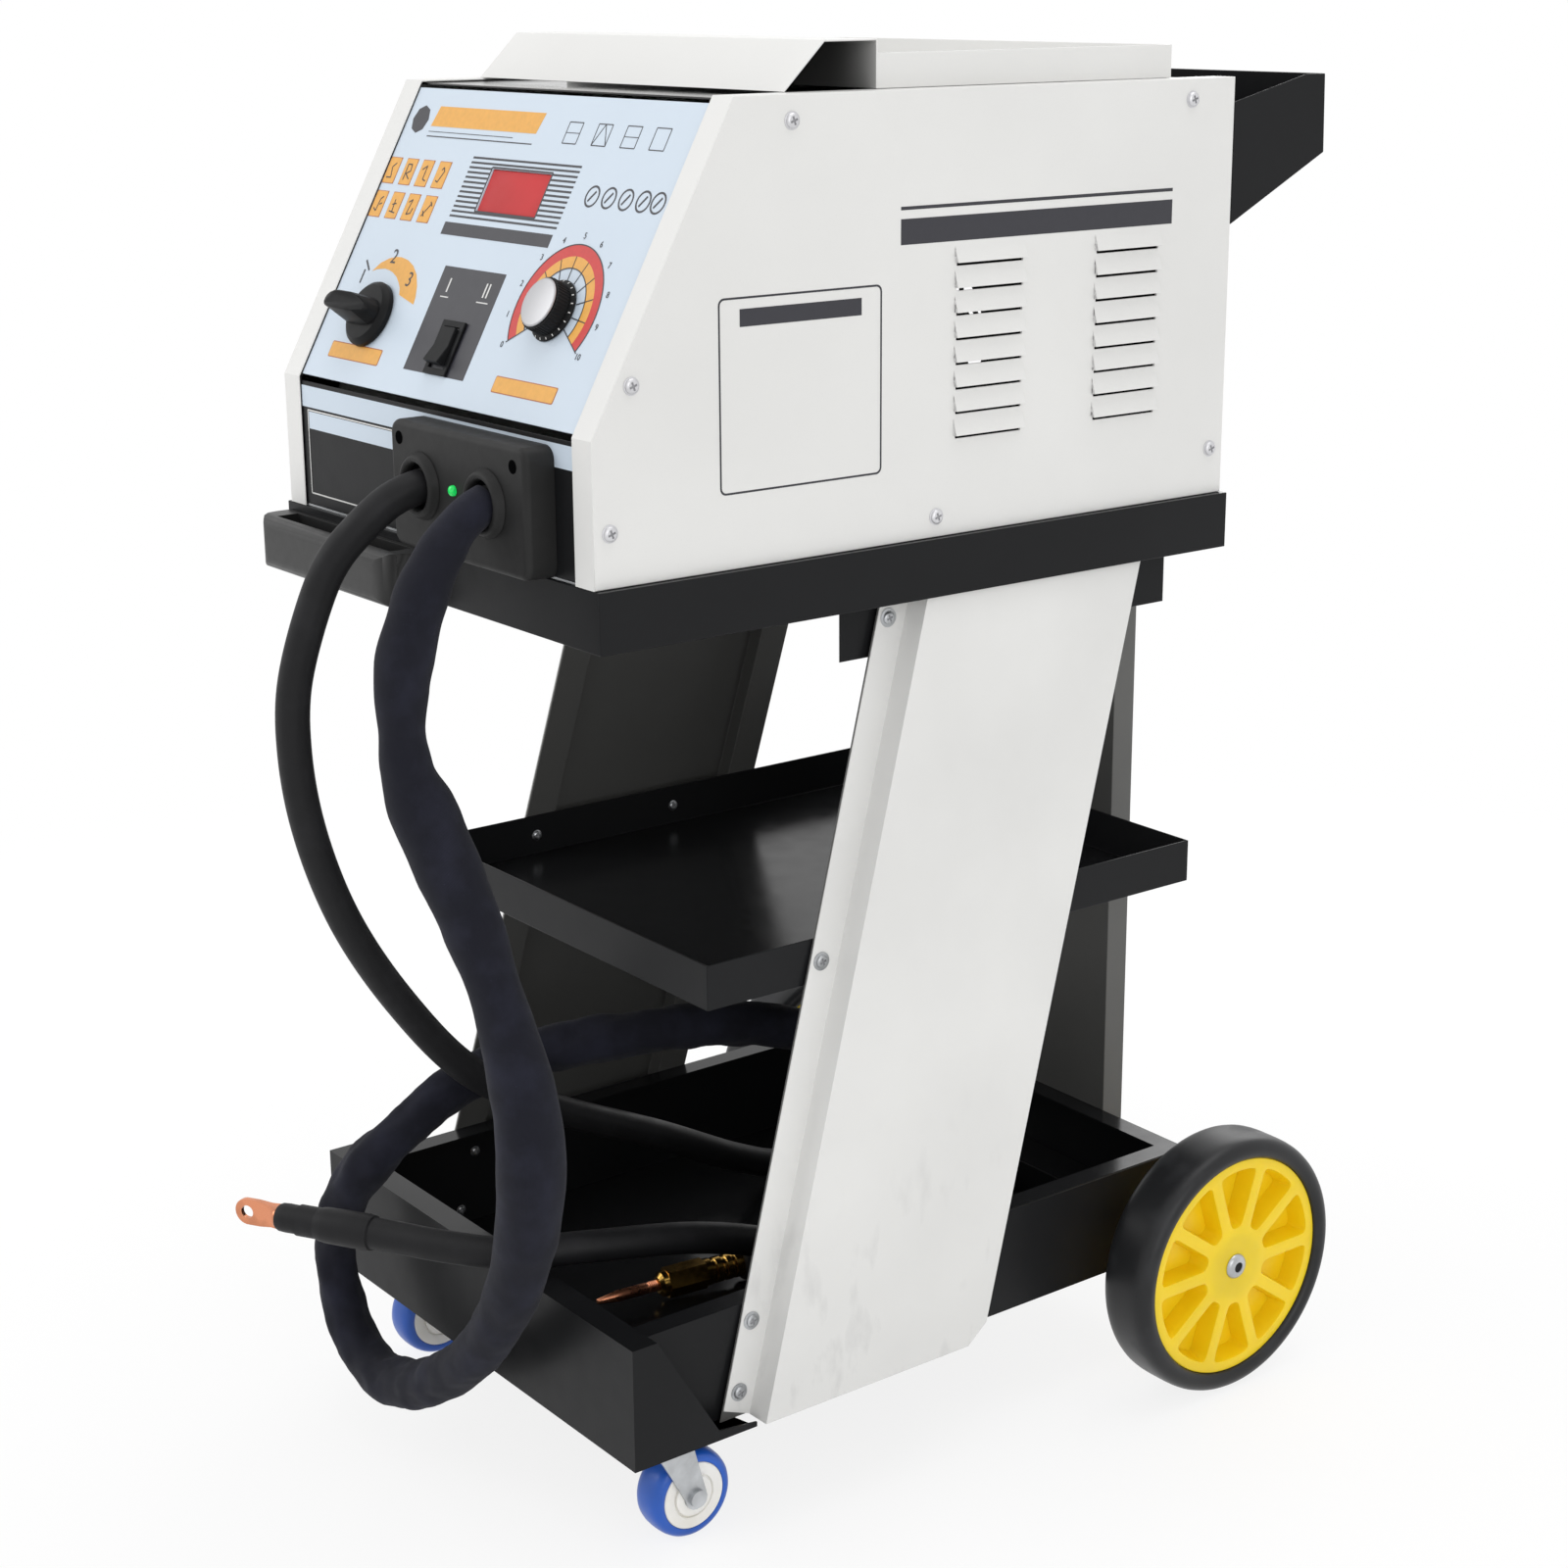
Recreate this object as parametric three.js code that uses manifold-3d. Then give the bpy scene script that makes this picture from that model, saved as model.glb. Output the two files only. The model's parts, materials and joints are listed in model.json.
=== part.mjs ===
// Dent pulling spot welder on its two-shelf trolley.
// Millimetres, +Z up, the control panel faces -Y, the floor is at Z 0.
import * as THREE from "three";
import { mergeVertices } from "three/addons/utils/BufferGeometryUtils.js";
import Module from "manifold-3d";

const wasm = await Module();
wasm.setup();

// Clearances
const SEAT = 0.3; // between two pieces that touch
const RUNNING_GAP = 0.3; // round a shaft that turns
const OVERRUN = 1; // how far a cut runs past what it cuts
const MERGE_DISTANCE = 0.0001;

// Machine case
const CASE_WIDTH = 394;
const CASE_LENGTH = 542;
const CASE_HEIGHT = 291;
const CASE_FRONT = -217;
const NOSE_HEIGHT = 92;
const SLOPE_REACH = 109;
const CASE_SHEET = 1.5;
const CASE_FLANGE = 22;
const LOUVRE_HEIGHT = 11;
const LOUVRE_GAP = 2.2; // of the slot below the lip
const LOUVRE_REACH = 3.5;
const LOUVRE_LENGTH = 61;
const LOUVRE_PITCH = 16.2;
const LOUVRE_COUNT = 8;
const LOUVRE_TOP_DROP = 111;
const LOUVRE_COLUMN_OFFSETS = [255, 130]; // from the case's rear edge to each column's rear end
const BASE_TO_DECK = SEAT;

// Control panel
const PANEL_SHEET = 1.5;
const PANEL_END_GAP = 3;
const SELECTOR_X = -113;
const SELECTOR_UP = 53;
const SELECTOR_RADIUS = 23.5;
const SELECTOR_DISC = 8;
const SELECTOR_GRIP_REACH = 35;
const SELECTOR_GRIP_HEIGHT = 26;
const SELECTOR_GRIP_WIDTH = 13;
const SELECTOR_BODY = 46;
const SELECTOR_BODY_DEPTH = 40;
const TIMER_X = 101;
const TIMER_UP = 77;
const TIMER_RADIUS = 18;
const TIMER_SKIRT = 21;
const TIMER_HEIGHT = 12.5;
const TIMER_CAP_RADIUS = 16.5;
const TIMER_CAP_THICKNESS = 1.5;
const TIMER_BODY_RADIUS = 13;
const TIMER_BODY_DEPTH = 16;
const SHAFT_RADIUS = 3;
const SHAFT_ENGAGEMENT = 9;
const KNOB_LIFT = 0.4;
const WINDOW_X = -2;
const WINDOW_UP = 152;
const WINDOW_WIDTH = 72;
const WINDOW_HEIGHT = 30;
const WINDOW_THICKNESS = 4;
const WINDOW_RECESS = 0.8;
const ROCKER_X = -5;
const ROCKER_UP = 40;
const ROCKER_WIDTH = 18;
const ROCKER_LENGTH = 26;
const ROCKER_HEIGHT = 5;
const ROCKER_SWING_SHARE = 0.14; // rise over run of the rocker's tilt at rest
const ROCKER_PIN = 1.5;
const ROCKER_CLEARANCE = 1.6;
const HOUSING_WALL = 2.5;
const HOUSING_LIP = 2;
const HOUSING_DEPTH = 18;

// Machine tray, called the deck here, with its rails
const DECK_HEIGHT = 685.7; // top face over the floor
const DECK_SHEET = 1.5;
const DECK_SIDE_OVERHANG = 5;
const DECK_REAR_OVERHANG = 2;
const DECK_SKIRT = 39.7;
const RAIL_LENGTH = 302;
const RAIL_LEAD = 43; // ahead of the leg's front edge
const RAIL_DROP = 79.5;
const RAIL_FLANGE = 22;
const RAIL_SHEET = 1.5;

// Front handle
const HANDLE_LENGTH = 197;
const HANDLE_REACH = 30;
const HANDLE_TOP_DROP = 5.7;
const HANDLE_HEIGHT = 38;
const HANDLE_CORNER = 18;
const HANDLE_SWEEP = 28; // its right end's corner
const HANDLE_EDGE = 9;
const HANDLE_BAR = 9;
const HANDLE_END = 18;
const HANDLE_FLOOR = 13;
const HANDLE_BACK = 4;

// Cable outlet block
const OUTLET_X = 70;
const OUTLET_WIDTH = 166;
const OUTLET_REACH = 20;
const OUTLET_HEIGHT = 84;
const OUTLET_CORNER = 9;
const GLAND_SPACING = 80;
const GLAND_OFFSET = -3;
const GLAND_UP = 44.5;
const GLAND_RADIUS = 20.5;
const GLAND_PROUD = 8;
const GLAND_SPIGOT = 18.3;
const LAMP_RADIUS = 3.5;
const LAMP_PROUD = 2;
const LAMP_LENGTH = 12;
const LAMP_RISE = 2.5;

// Rear bin and tool tray
const BIN_REACH = 91;
const BIN_TOP_REACH = 72;
const BIN_SHEET = 1.5;
const BIN_FRONT_DROP = 17;
const BIN_REAR_HEIGHT = 55;
const BIN_DEPTH = 101;
const BIN_REAR_SLANT = 2;
const TOOL_SHEET = 1.2;
const TOOL_HALF_WIDTH = 180;
const TOOL_FRONT_SETBACK = 234; // from the case's front to the tray's front wall
const TOOL_LENGTH = 262;
const TOOL_WALL = 22;
const HOOD_TOP = 42;
const HOOD_SLOPE = 32;
const HOOD_RISE = 30.7;

// Trolley
const WHEEL_RADIUS = 102;
const WHEEL_WIDTH = 47;
const AXLE_OVER_TRAY = 14;
const TROLLEY_REAR_GAP = 3.5; // behind the rear panel, inside the deck's skirt
const TRAY_SHEET = 1.5;
const LOWER_HALF_WIDTH = 190;
const LOWER_WALL = 82;
const LOWER_LIP = 17;
const BUMPER_HALF_WIDTH = 208;
const BUMPER_SETBACK = 7;
const BUMPER_RISE = 4;
const BUMPER_DROP = 4;
const BUMPER_LIP = 20;
const WING_LENGTH = 102;
const WING_SHOULDER = 70;
const WING_TOE = 3.5;
const AXLE_SETBACK = 17;
const AXLE_COVER_HEIGHT = 28;
const AXLE_COVER_REACH = 22;
const SHELF_HEIGHT = 386; // underside over the floor
const SHELF_WALL = 32;
const SHELF_SETBACK = 91; // behind the case's front
const LEG_SHEET = 1.5;
const LEG_LENGTH = 222; // front to back
const LEG_SETBACK = 80; // behind the lower tray's front
const LEG_LEAN_SHARE = 0.28; // backwards for each length upwards
const LEG_SPLAY_SHARE = 0.035; // inwards for each length upwards
const LEG_BAND = 27;
const LEG_FRAME_DEPTH = 15;
const COVER_SHEET = 1.2;
const COVER_DEPTH = 22.5;
const COVER_TOE = 9;
const COVER_HEEL = 14;
const REAR_PANEL_HALF_WIDTH = 97;
const REAR_PANEL_FLANGE = 21;
const REAR_PANEL_LAP = 50;
const REAR_PANEL_SHEET = 1.5;
const TONGUE_INSET = 7;

// Rear wheels and their axle
const AXLE_RADIUS = 8;
const JOURNAL_RADIUS = 6;
const HUB_RADIUS = 86;
const HUB_RIM = 8;
const HUB_WIDTH = 38;
const HUB_WEB = 5;
const BOSS_RADIUS = 30;
const BOSS_INSET = 5.5;
const WHEEL_STANDOFF = 31; // between the lower tray's side and the tyre
const SPOKE_COUNT = 10;
const SPOKE_WIDTH = 10;
const SPOKE_INSET = 1;
const TYRE_SHOULDER = 8;
const TYRE_SEAT_WIDTH = 40;
const CAP_RADIUS = 11;
const CAP_THICKNESS = 2;
const AXLE_END = 1;

// Casters
const CASTER_RADIUS = 33;
const CASTER_WIDTH = 28;
const CASTER_X = 171;
const CASTER_SETBACK = 43; // kingpin behind the lower tray's front
const CASTER_TRAIL = 21;
const CASTER_PLATE_WIDTH = 60;
const CASTER_PLATE_LENGTH = 46;
const CASTER_PLATE = 2.5;
const KINGPIN_RADIUS = 5;
const KINGPIN_HEAD = 8;
const KINGPIN_HEAD_HEIGHT = 3;
const CROWN_RADIUS = 20;
const CROWN_HEIGHT = 7;
const FORK_SHEET = 2.5;
const FORK_GAP = 0.8;
const FORK_EYE = 9;
const FORK_SHOULDER = 16;
const CASTER_BOLT = 4;
const CASTER_BOLT_HEAD = 6.5;
const CASTER_BOLT_HEAD_HEIGHT = 3;
const CORE_RADIUS = 21;
const CORE_GROOVE_RADIUS = 15;
const CORE_GROOVE_WIDTH = 2.5;
const CORE_GROOVE_DEPTH = 3;
const TREAD_CROWN = 5;

// Inside the case
const CORE_WIDTH = 160;
const CORE_LENGTH = 90;
const CORE_HEIGHT = 135;
const CORE_LEG = 27;
const CORE_SETBACK = 290; // core's middle behind the case's front
const COIL_WALL = 20;
const FAN_SIZE = 120;
const FAN_DEPTH = 25;
const FAN_WALL = 3;
const FAN_INSET = 107; // from the case's side
const FAN_UP = 90;
const FAN_HUB = 20;
const FAN_BLADE_COUNT = 7;
const FAN_BLADE_SHEET = 2;
const FAN_BLADE_TILT_SHARE = 0.55;
const FAN_SHAFT = 4;
const FAN_ARM = 8;
const FAN_ARM_DEPTH = 4;
const GRILLE_BAR = 4;
const GRILLE_RING_SHARES = [0.36, 0.68];
const BOARD_INSET = 112;
const BOARD_WIDTH = 130;
const BOARD_LENGTH = 100;
const BOARD_SHEET = 1.6;
const BOARD_POST = 10;
const BOARD_POST_RADIUS = 3;
const BOARD_SETBACK = 55;
const CAPACITOR_RADIUS = 11;
const CAPACITOR_HEIGHT = 32;
const MAINS_INSET = 77;
const MAINS_UP = 45;
const MAINS_RADIUS = 13;
const MAINS_SPIGOT = 9;
const MAINS_BORE = 5;
const MAINS_PROUD = 18;
const MAINS_INNER = 8;

// Cables and what is on them
const EARTH_RADIUS = 11.5;
const TORCH_RADIUS = 16.5;
const LUG_BARREL_RADIUS = 8;
const LUG_BARREL = 20;
const LUG_WIDTH = 20;
const LUG_LENGTH = 34;
const LUG_THICKNESS = 4;
const LUG_HOLE = 5;
const GRIP_RADIUS = 14;
const GRIP_LENGTH = 80;
const NUT_RADIUS = 12;
const NUT_LENGTH = 36;
const COLLAR_RADIUS = 10;
const COLLAR_LENGTH = 34;
const TIP_RADIUS = 4.5;
const TIP_LENGTH = 50;
const TIP_TAPER = 16;
const TIP_POINT = 2;

// Counts of flat faces round turned pieces
const FINE_SIDES = 64;
const MEDIUM_SIDES = 32;
const COARSE_SIDES = 20;
const CABLE_SIDES = 8;
const EARTH_STEPS = 40;
const TORCH_STEPS = 40;
const CORNER_STEPS = 4;

// Places that follow from the sizes above
const CASE_HALF = CASE_WIDTH / 2;
const CASE_INNER = CASE_HALF - CASE_SHEET;
const FAN_X = FAN_INSET - CASE_HALF;
const BOARD_X = CASE_HALF - BOARD_INSET;
const MAINS_X = CASE_HALF - MAINS_INSET;
const INSIDE_HALF = CASE_INNER - SEAT;
const CASE_REAR = CASE_FRONT + CASE_LENGTH;
const CASE_BOTTOM = DECK_HEIGHT + BASE_TO_DECK;
const CASE_TOP = CASE_BOTTOM + CASE_HEIGHT;
const BEND_HEIGHT = CASE_BOTTOM + NOSE_HEIGHT;
const SLOPE_TOP_Y = CASE_FRONT + SLOPE_REACH;
const SLOPE_RISE = CASE_TOP - BEND_HEIGHT;
const SLOPE_LENGTH = Math.hypot(SLOPE_REACH, SLOPE_RISE);
const SLOPE_ANGLE = Math.atan2(SLOPE_RISE, SLOPE_REACH);
const DECK_HALF = CASE_HALF + DECK_SIDE_OVERHANG;
const DECK_REAR = CASE_REAR + DECK_REAR_OVERHANG;
const DECK_UNDERSIDE = DECK_HEIGHT - DECK_SHEET;
const SKIRT_BOTTOM = DECK_HEIGHT - DECK_SKIRT;
const LOWER_BOTTOM = WHEEL_RADIUS - AXLE_OVER_TRAY;
const LOWER_TOP = LOWER_BOTTOM + LOWER_WALL;
const LOWER_FRONT = CASE_FRONT + BUMPER_SETBACK;
const TROLLEY_REAR = DECK_REAR - DECK_SHEET - TROLLEY_REAR_GAP;
const AXLE_Y = TROLLEY_REAR - AXLE_SETBACK;
const LEG_FOOT_FRONT = LOWER_FRONT + LEG_SETBACK;
const LEG_TOP = DECK_UNDERSIDE - SEAT;
const SHELF_TOP = SHELF_HEIGHT + SHELF_WALL;
const WHEEL_X = LOWER_HALF_WIDTH + WHEEL_STANDOFF + WHEEL_WIDTH / 2;
const HANDLE_FRONT = CASE_FRONT - HANDLE_REACH;
const OUTLET_FRONT = CASE_FRONT - OUTLET_REACH;
const GLAND_Z = DECK_HEIGHT + GLAND_UP;
const EARTH_X = OUTLET_X + GLAND_OFFSET - GLAND_SPACING / 2;
const TORCH_X = OUTLET_X + GLAND_OFFSET + GLAND_SPACING / 2;
const BIN_REAR = CASE_REAR + SEAT + BIN_REACH + BIN_REAR_SLANT;
const CENTRE_Y = (HANDLE_FRONT + BIN_REAR) / 2;

// Each cable's route by hand, after its straight start in the gland
const EARTH_ROUTE = [
  [15, -284, 703], [3, -302, 667], [-11, -317, 603], [-17, -317, 556], [-22, -307, 498],
  [-29, -280, 426], [-34, -236, 353], [-38, -183, 289], [-45, -113, 240], [-60, -2, 182],
  [-81, 90, 130], [-95, 140, 107], [-97, 180, 101.6], [-72, 231, 101.6], [-28, 258, 101.6],
  [28, 257, 101.6], [74, 228, 101.6], [99, 170, 101.6], [105, 100, 107], [102, 40, 130],
  [97, -31, 160], [94, -86, 177], [81, -160, 187.5], [57, -211, 188], [19, -240, 187.5],
  [-19, -261, 187], [-86, -299, 186],
];
const TORCH_ROUTE = [
  [112, -288, 700], [107, -306, 655], [102, -308, 608], [101, -299, 566], [105, -287, 528],
  [112, -275, 490], [123, -266, 452], [137, -260, 412], [151, -257, 372], [160, -255, 335],
  [160, -254, 298], [150, -252, 255], [126, -250, 200], [88, -250, 146], [38, -250, 101],
  [-14, -250, 69], [-62, -250, 55], [-97, -250, 64.5], [-122.5, -249.5, 90], [-132, -249, 125],
  [-128, -246, 158], [-115, -240, 187], [-98, -229, 213], [-85, -205, 237], [-81, -172, 258],
  [-72, -132, 272], [-53, -92, 280], [-29, -50, 287], [-3, -8, 291], [14, 27, 290],
  [25, 62, 281.5], [32, 93, 268.5], [36, 122, 255], [38.5, 150, 241.8], [40.3, 179.5, 214],
  [42, 189, 178.5], [43.8, 179.5, 143], [45.4, 153.5, 117], [46.6, 119, 107.5],
  [45.1, 103, 106.8], [42.9, 87, 106.5],
];

const FINISHES = {
  whitePaint: { color: 0xe9e8e3, roughness: 0.42, metalness: 0.05 },
  blackPaint: { color: 0x17181a, roughness: 0.34, metalness: 0.1 },
  greyPaint: { color: 0x5b5d5f, roughness: 0.5, metalness: 0.1 },
  glossBlack: { color: 0x0c0d0f, roughness: 0.12, metalness: 0.1 },
  panelBlue: { color: 0xd3e0ec, roughness: 0.45, metalness: 0 },
  blackPlastic: { color: 0x202124, roughness: 0.55, metalness: 0 },
  redLens: { color: 0xc62f33, roughness: 0.25, metalness: 0 },
  greenLens: { color: 0x22c060, roughness: 0.3, metalness: 0 },
  yellowPlastic: { color: 0xf6cf12, roughness: 0.45, metalness: 0 },
  tyre: { color: 0x1c1c1d, roughness: 0.75, metalness: 0 },
  blueTread: { color: 0x1d4fb0, roughness: 0.4, metalness: 0 },
  greyPlastic: { color: 0xbdb9ac, roughness: 0.5, metalness: 0 },
  zinc: { color: 0xc4c8cb, roughness: 0.35, metalness: 0.9 },
  steel: { color: 0x9a9c9e, roughness: 0.4, metalness: 0.9 },
  laminate: { color: 0x5a5450, roughness: 0.6, metalness: 0.7 },
  winding: { color: 0x8a4a26, roughness: 0.45, metalness: 0.2 },
  board: { color: 0x1c5a34, roughness: 0.5, metalness: 0 },
  rubber: { color: 0x17171a, roughness: 0.8, metalness: 0 },
  sleeve: { color: 0x16181f, roughness: 0.9, metalness: 0 },
  copper: { color: 0xc67a50, roughness: 0.3, metalness: 0.95 },
  brass: { color: 0xb48a38, roughness: 0.3, metalness: 0.95 },
};

// Shapes and solids

function turnsLeft(outline) {
  let doubled = 0;
  outline.forEach(([x, y], i) => {
    const [nextX, nextY] = outline[(i + 1) % outline.length];
    doubled += x * nextY - nextX * y;
  });
  return doubled > 0;
}

function extrusion(outline, length) {
  const shape = new THREE.Shape(outline.map(([x, y]) => new THREE.Vector2(x, y)));
  return new THREE.ExtrudeGeometry(shape, { depth: length, bevelEnabled: false });
}

function solidOf(geometry) {
  geometry.deleteAttribute("normal");
  geometry.deleteAttribute("uv");
  const merged = mergeVertices(geometry, MERGE_DISTANCE);
  return new wasm.Manifold(
    new wasm.Mesh({
      numProp: 3,
      vertProperties: merged.attributes.position.array,
      triVerts: new Uint32Array(merged.index.array),
    }),
  );
}

// An outline in Y and Z, run from x0 to x1.
function prismX(outline, x0, x1) {
  const turned = new THREE.Matrix4().set(0, 0, 1, x0, 1, 0, 0, 0, 0, 1, 0, 0, 0, 0, 0, 1);
  return solidOf(extrusion(outline, x1 - x0).applyMatrix4(turned));
}

// An outline in X and Z, run from y0 to y1.
function prismY(outline, y0, y1) {
  const turned = new THREE.Matrix4().set(1, 0, 0, 0, 0, 0, -1, y1, 0, 1, 0, 0, 0, 0, 0, 1);
  return solidOf(extrusion(outline, y1 - y0).applyMatrix4(turned));
}

// An outline in X and Y, run from z0 to z1.
function prismZ(outline, z0, z1) {
  return solidOf(extrusion(outline, z1 - z0).translate(0, 0, z0));
}

function block(x0, x1, y0, y1, z0, z1) {
  const geometry = new THREE.BoxGeometry(x1 - x0, y1 - y0, z1 - z0);
  return solidOf(geometry.translate((x0 + x1) / 2, (y0 + y1) / 2, (z0 + z1) / 2));
}

// A profile of [radius, height] turned round an axis through a point.
function turned(profile, sides, axis, at = [0, 0, 0]) {
  const points = turnsLeft(profile) ? [...profile] : [...profile].reverse();
  points.push(points[0]);
  const lathe = new THREE.LatheGeometry(points.map(([r, h]) => new THREE.Vector2(r, h)), sides);
  if (axis === "x") lathe.rotateZ(-Math.PI / 2);
  if (axis === "z") lathe.rotateX(Math.PI / 2);
  return solidOf(lathe.translate(...at));
}

function disc(radius, from, to, sides, axis, at) {
  return turned([[0, from], [radius, from], [radius, to], [0, to]], sides, axis, at);
}

function ring(inner, outer, from, to, sides, axis, at) {
  return turned([[inner, from], [outer, from], [outer, to], [inner, to]], sides, axis, at);
}

function join(first, ...others) {
  return others.reduce((whole, piece) => whole.add(piece), first);
}

function cut(whole, ...tools) {
  return tools.reduce((left, tool) => left.subtract(tool), whole);
}

// A counterclockwise outline with each edge moved inwards by its own distance.
function inset(outline, distances) {
  const count = outline.length;
  const edges = outline.map(([x, y], i) => {
    const [nextX, nextY] = outline[(i + 1) % count];
    const length = Math.hypot(nextX - x, nextY - y);
    const direction = [(nextX - x) / length, (nextY - y) / length];
    const shift = distances[i];
    return { at: [x - direction[1] * shift, y + direction[0] * shift], direction };
  });
  return edges.map((edge, i) => {
    const before = edges[(i + count - 1) % count];
    const [ax, ay] = before.at;
    const [ux, uy] = before.direction;
    const [vx, vy] = edge.direction;
    const along = ((edge.at[0] - ax) * vy - (edge.at[1] - ay) * vx) / (ux * vy - uy * vx);
    return [ax + ux * along, ay + uy * along];
  });
}

// A rectangle with the radius of each corner given from the lower left, counterclockwise.
function roundedRectangle(x0, x1, y0, y1, radii) {
  const corners = [[x0, y0, 1, 1], [x1, y0, -1, 1], [x1, y1, -1, -1], [x0, y1, 1, -1]];
  return corners.flatMap(([x, y, inX, inY], i) => {
    const radius = radii[i];
    if (radius === 0) return [[x, y]];
    const start = Math.PI + (i * Math.PI) / 2;
    return Array.from({ length: CORNER_STEPS + 1 }, (_, step) => {
      const angle = start + (step * Math.PI) / 2 / CORNER_STEPS;
      return [
        x + inX * radius + radius * Math.cos(angle),
        y + inY * radius + radius * Math.sin(angle),
      ];
    });
  });
}

function geometryOf(solid) {
  const data = solid.getMesh();
  const geometry = new THREE.BufferGeometry();
  geometry.setAttribute("position", new THREE.BufferAttribute(data.vertProperties, 3));
  geometry.setIndex(new THREE.BufferAttribute(data.triVerts, 1));
  geometry.computeVertexNormals();
  return geometry;
}

function addMesh(parent, name, shape, finish) {
  const geometry = shape.isBufferGeometry ? shape : geometryOf(shape);
  const material = new THREE.MeshStandardMaterial({ ...finish, flatShading: true });
  const mesh = new THREE.Mesh(geometry, material);
  mesh.name = name;
  parent.add(mesh);
  return mesh;
}

// The same solid on both sides, mirrored on the left.
function addPair(parent, name, shape, finish) {
  addMesh(parent, name + "_right", shape, finish);
  addMesh(parent, name + "_left", shape, finish).scale.x = -1;
}

const SIDES = [["left", -1], ["right", 1]];

// Trolley

// The inner face of a leg at a height over the floor.
function legInner(height) {
  return LOWER_HALF_WIDTH + SEAT - LEG_SPLAY_SHARE * (height - LOWER_TOP);
}

function foldedTray(half, front, rear, bottom, top, sheet) {
  const outside = block(-half, half, front, rear, bottom, top);
  const inner = half - sheet;
  return cut(
    outside,
    block(-inner, inner, front + sheet, rear - sheet, bottom + sheet, top + OVERRUN),
  );
}

function lowerTray() {
  const half = LOWER_HALF_WIDTH;
  const wide = BUMPER_HALF_WIDTH;
  const front = LOWER_FRONT;
  const lipBottom = LOWER_TOP - TRAY_SHEET;
  const bumperTop = LOWER_TOP + BUMPER_RISE;
  const bumperBottom = LOWER_BOTTOM - BUMPER_DROP;
  const wing = [
    [front, bumperTop], [front, bumperBottom], [front + WING_LENGTH, bumperBottom],
    [front + WING_LENGTH, bumperBottom + WING_TOE], [front + WING_SHOULDER, LOWER_BOTTOM + WING_TOE],
    [front + BUMPER_LIP, bumperTop],
  ];
  const lip = half - LOWER_LIP;
  const rearLip = TROLLEY_REAR - LOWER_LIP;
  const axleHole = disc(
    AXLE_RADIUS + RUNNING_GAP, -half - OVERRUN, half + OVERRUN, MEDIUM_SIDES, "x",
    [0, AXLE_Y, WHEEL_RADIUS],
  );
  const tray = join(
    foldedTray(half, front, TROLLEY_REAR, LOWER_BOTTOM, LOWER_TOP, TRAY_SHEET),
    block(-half, -lip, front, TROLLEY_REAR, lipBottom, LOWER_TOP),
    block(lip, half, front, TROLLEY_REAR, lipBottom, LOWER_TOP),
    block(-half, half, rearLip, TROLLEY_REAR, lipBottom, LOWER_TOP),
    block(-wide, wide, front, front + TRAY_SHEET, bumperBottom, bumperTop),
    block(-wide, wide, front, front + BUMPER_LIP, bumperTop - TRAY_SHEET, bumperTop),
    block(-wide, wide, front, front + WING_SHOULDER, LOWER_BOTTOM, LOWER_BOTTOM + TRAY_SHEET),
    prismX(wing, wide - TRAY_SHEET, wide),
    prismX(wing, -wide, TRAY_SHEET - wide),
  );
  return cut(tray, axleHole);
}

function axleCover() {
  const half = LOWER_HALF_WIDTH - TRAY_SHEET - SEAT;
  const front = AXLE_Y - AXLE_COVER_REACH;
  const rear = TROLLEY_REAR - TRAY_SHEET - SEAT;
  const bottom = LOWER_BOTTOM + TRAY_SHEET + SEAT;
  const top = bottom + AXLE_COVER_HEIGHT;
  return join(
    block(-half, half, front, front + TRAY_SHEET, bottom, top),
    block(-half, half, front, rear, top - TRAY_SHEET, top),
  );
}

function middleShelf() {
  const half = legInner(SHELF_TOP) - SEAT;
  return foldedTray(
    half, CASE_FRONT + SHELF_SETBACK, TROLLEY_REAR, SHELF_HEIGHT, SHELF_TOP, TRAY_SHEET,
  );
}

function machineTray() {
  const inner = DECK_HALF - DECK_SHEET;
  return cut(
    block(-DECK_HALF, DECK_HALF, CASE_FRONT, DECK_REAR, SKIRT_BOTTOM, DECK_HEIGHT),
    block(
      -inner, inner, CASE_FRONT + DECK_SHEET, DECK_REAR - DECK_SHEET,
      SKIRT_BOTTOM - OVERRUN, DECK_UNDERSIDE,
    ),
  );
}

function rail() {
  const outer = legInner(LEG_TOP) - SEAT;
  const inner = outer - RAIL_FLANGE;
  const bottom = LEG_TOP - RAIL_DROP;
  const legFront = LEG_FOOT_FRONT + LEG_LEAN_SHARE * (LEG_TOP - LOWER_BOTTOM);
  const front = legFront - RAIL_LEAD;
  const web = outer - RAIL_SHEET;
  return cut(
    block(inner, outer, front, front + RAIL_LENGTH, bottom, LEG_TOP),
    block(
      inner - OVERRUN, web, front - OVERRUN, front + RAIL_LENGTH + OVERRUN,
      bottom - OVERRUN, LEG_TOP - RAIL_SHEET,
    ),
  );
}

// A leg piece is made upright, outwards along X and backwards along Y, then leant and splayed.
function leant(solid) {
  const matrix = new THREE.Matrix4().set(
    1, 0, -LEG_SPLAY_SHARE, legInner(LOWER_BOTTOM),
    0, 1, LEG_LEAN_SHARE, LEG_FOOT_FRONT,
    0, 0, 1, LOWER_BOTTOM,
    0, 0, 0, 1,
  );
  return geometryOf(solid).applyMatrix4(matrix);
}

function legFrame() {
  const sheet = LEG_SHEET;
  const deep = LEG_FRAME_DEPTH;
  const band = LEG_BAND;
  const end = LEG_LENGTH;
  const section = [
    [0, 0], [sheet, 0], [sheet, band - sheet], [deep, band - sheet],
    [deep, end - band + sheet], [sheet, end - band + sheet], [sheet, end], [0, end],
    [0, end - band], [deep - sheet, end - band], [deep - sheet, band], [0, band],
  ];
  return leant(prismZ(section, 0, LEG_TOP - LOWER_BOTTOM));
}

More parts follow.
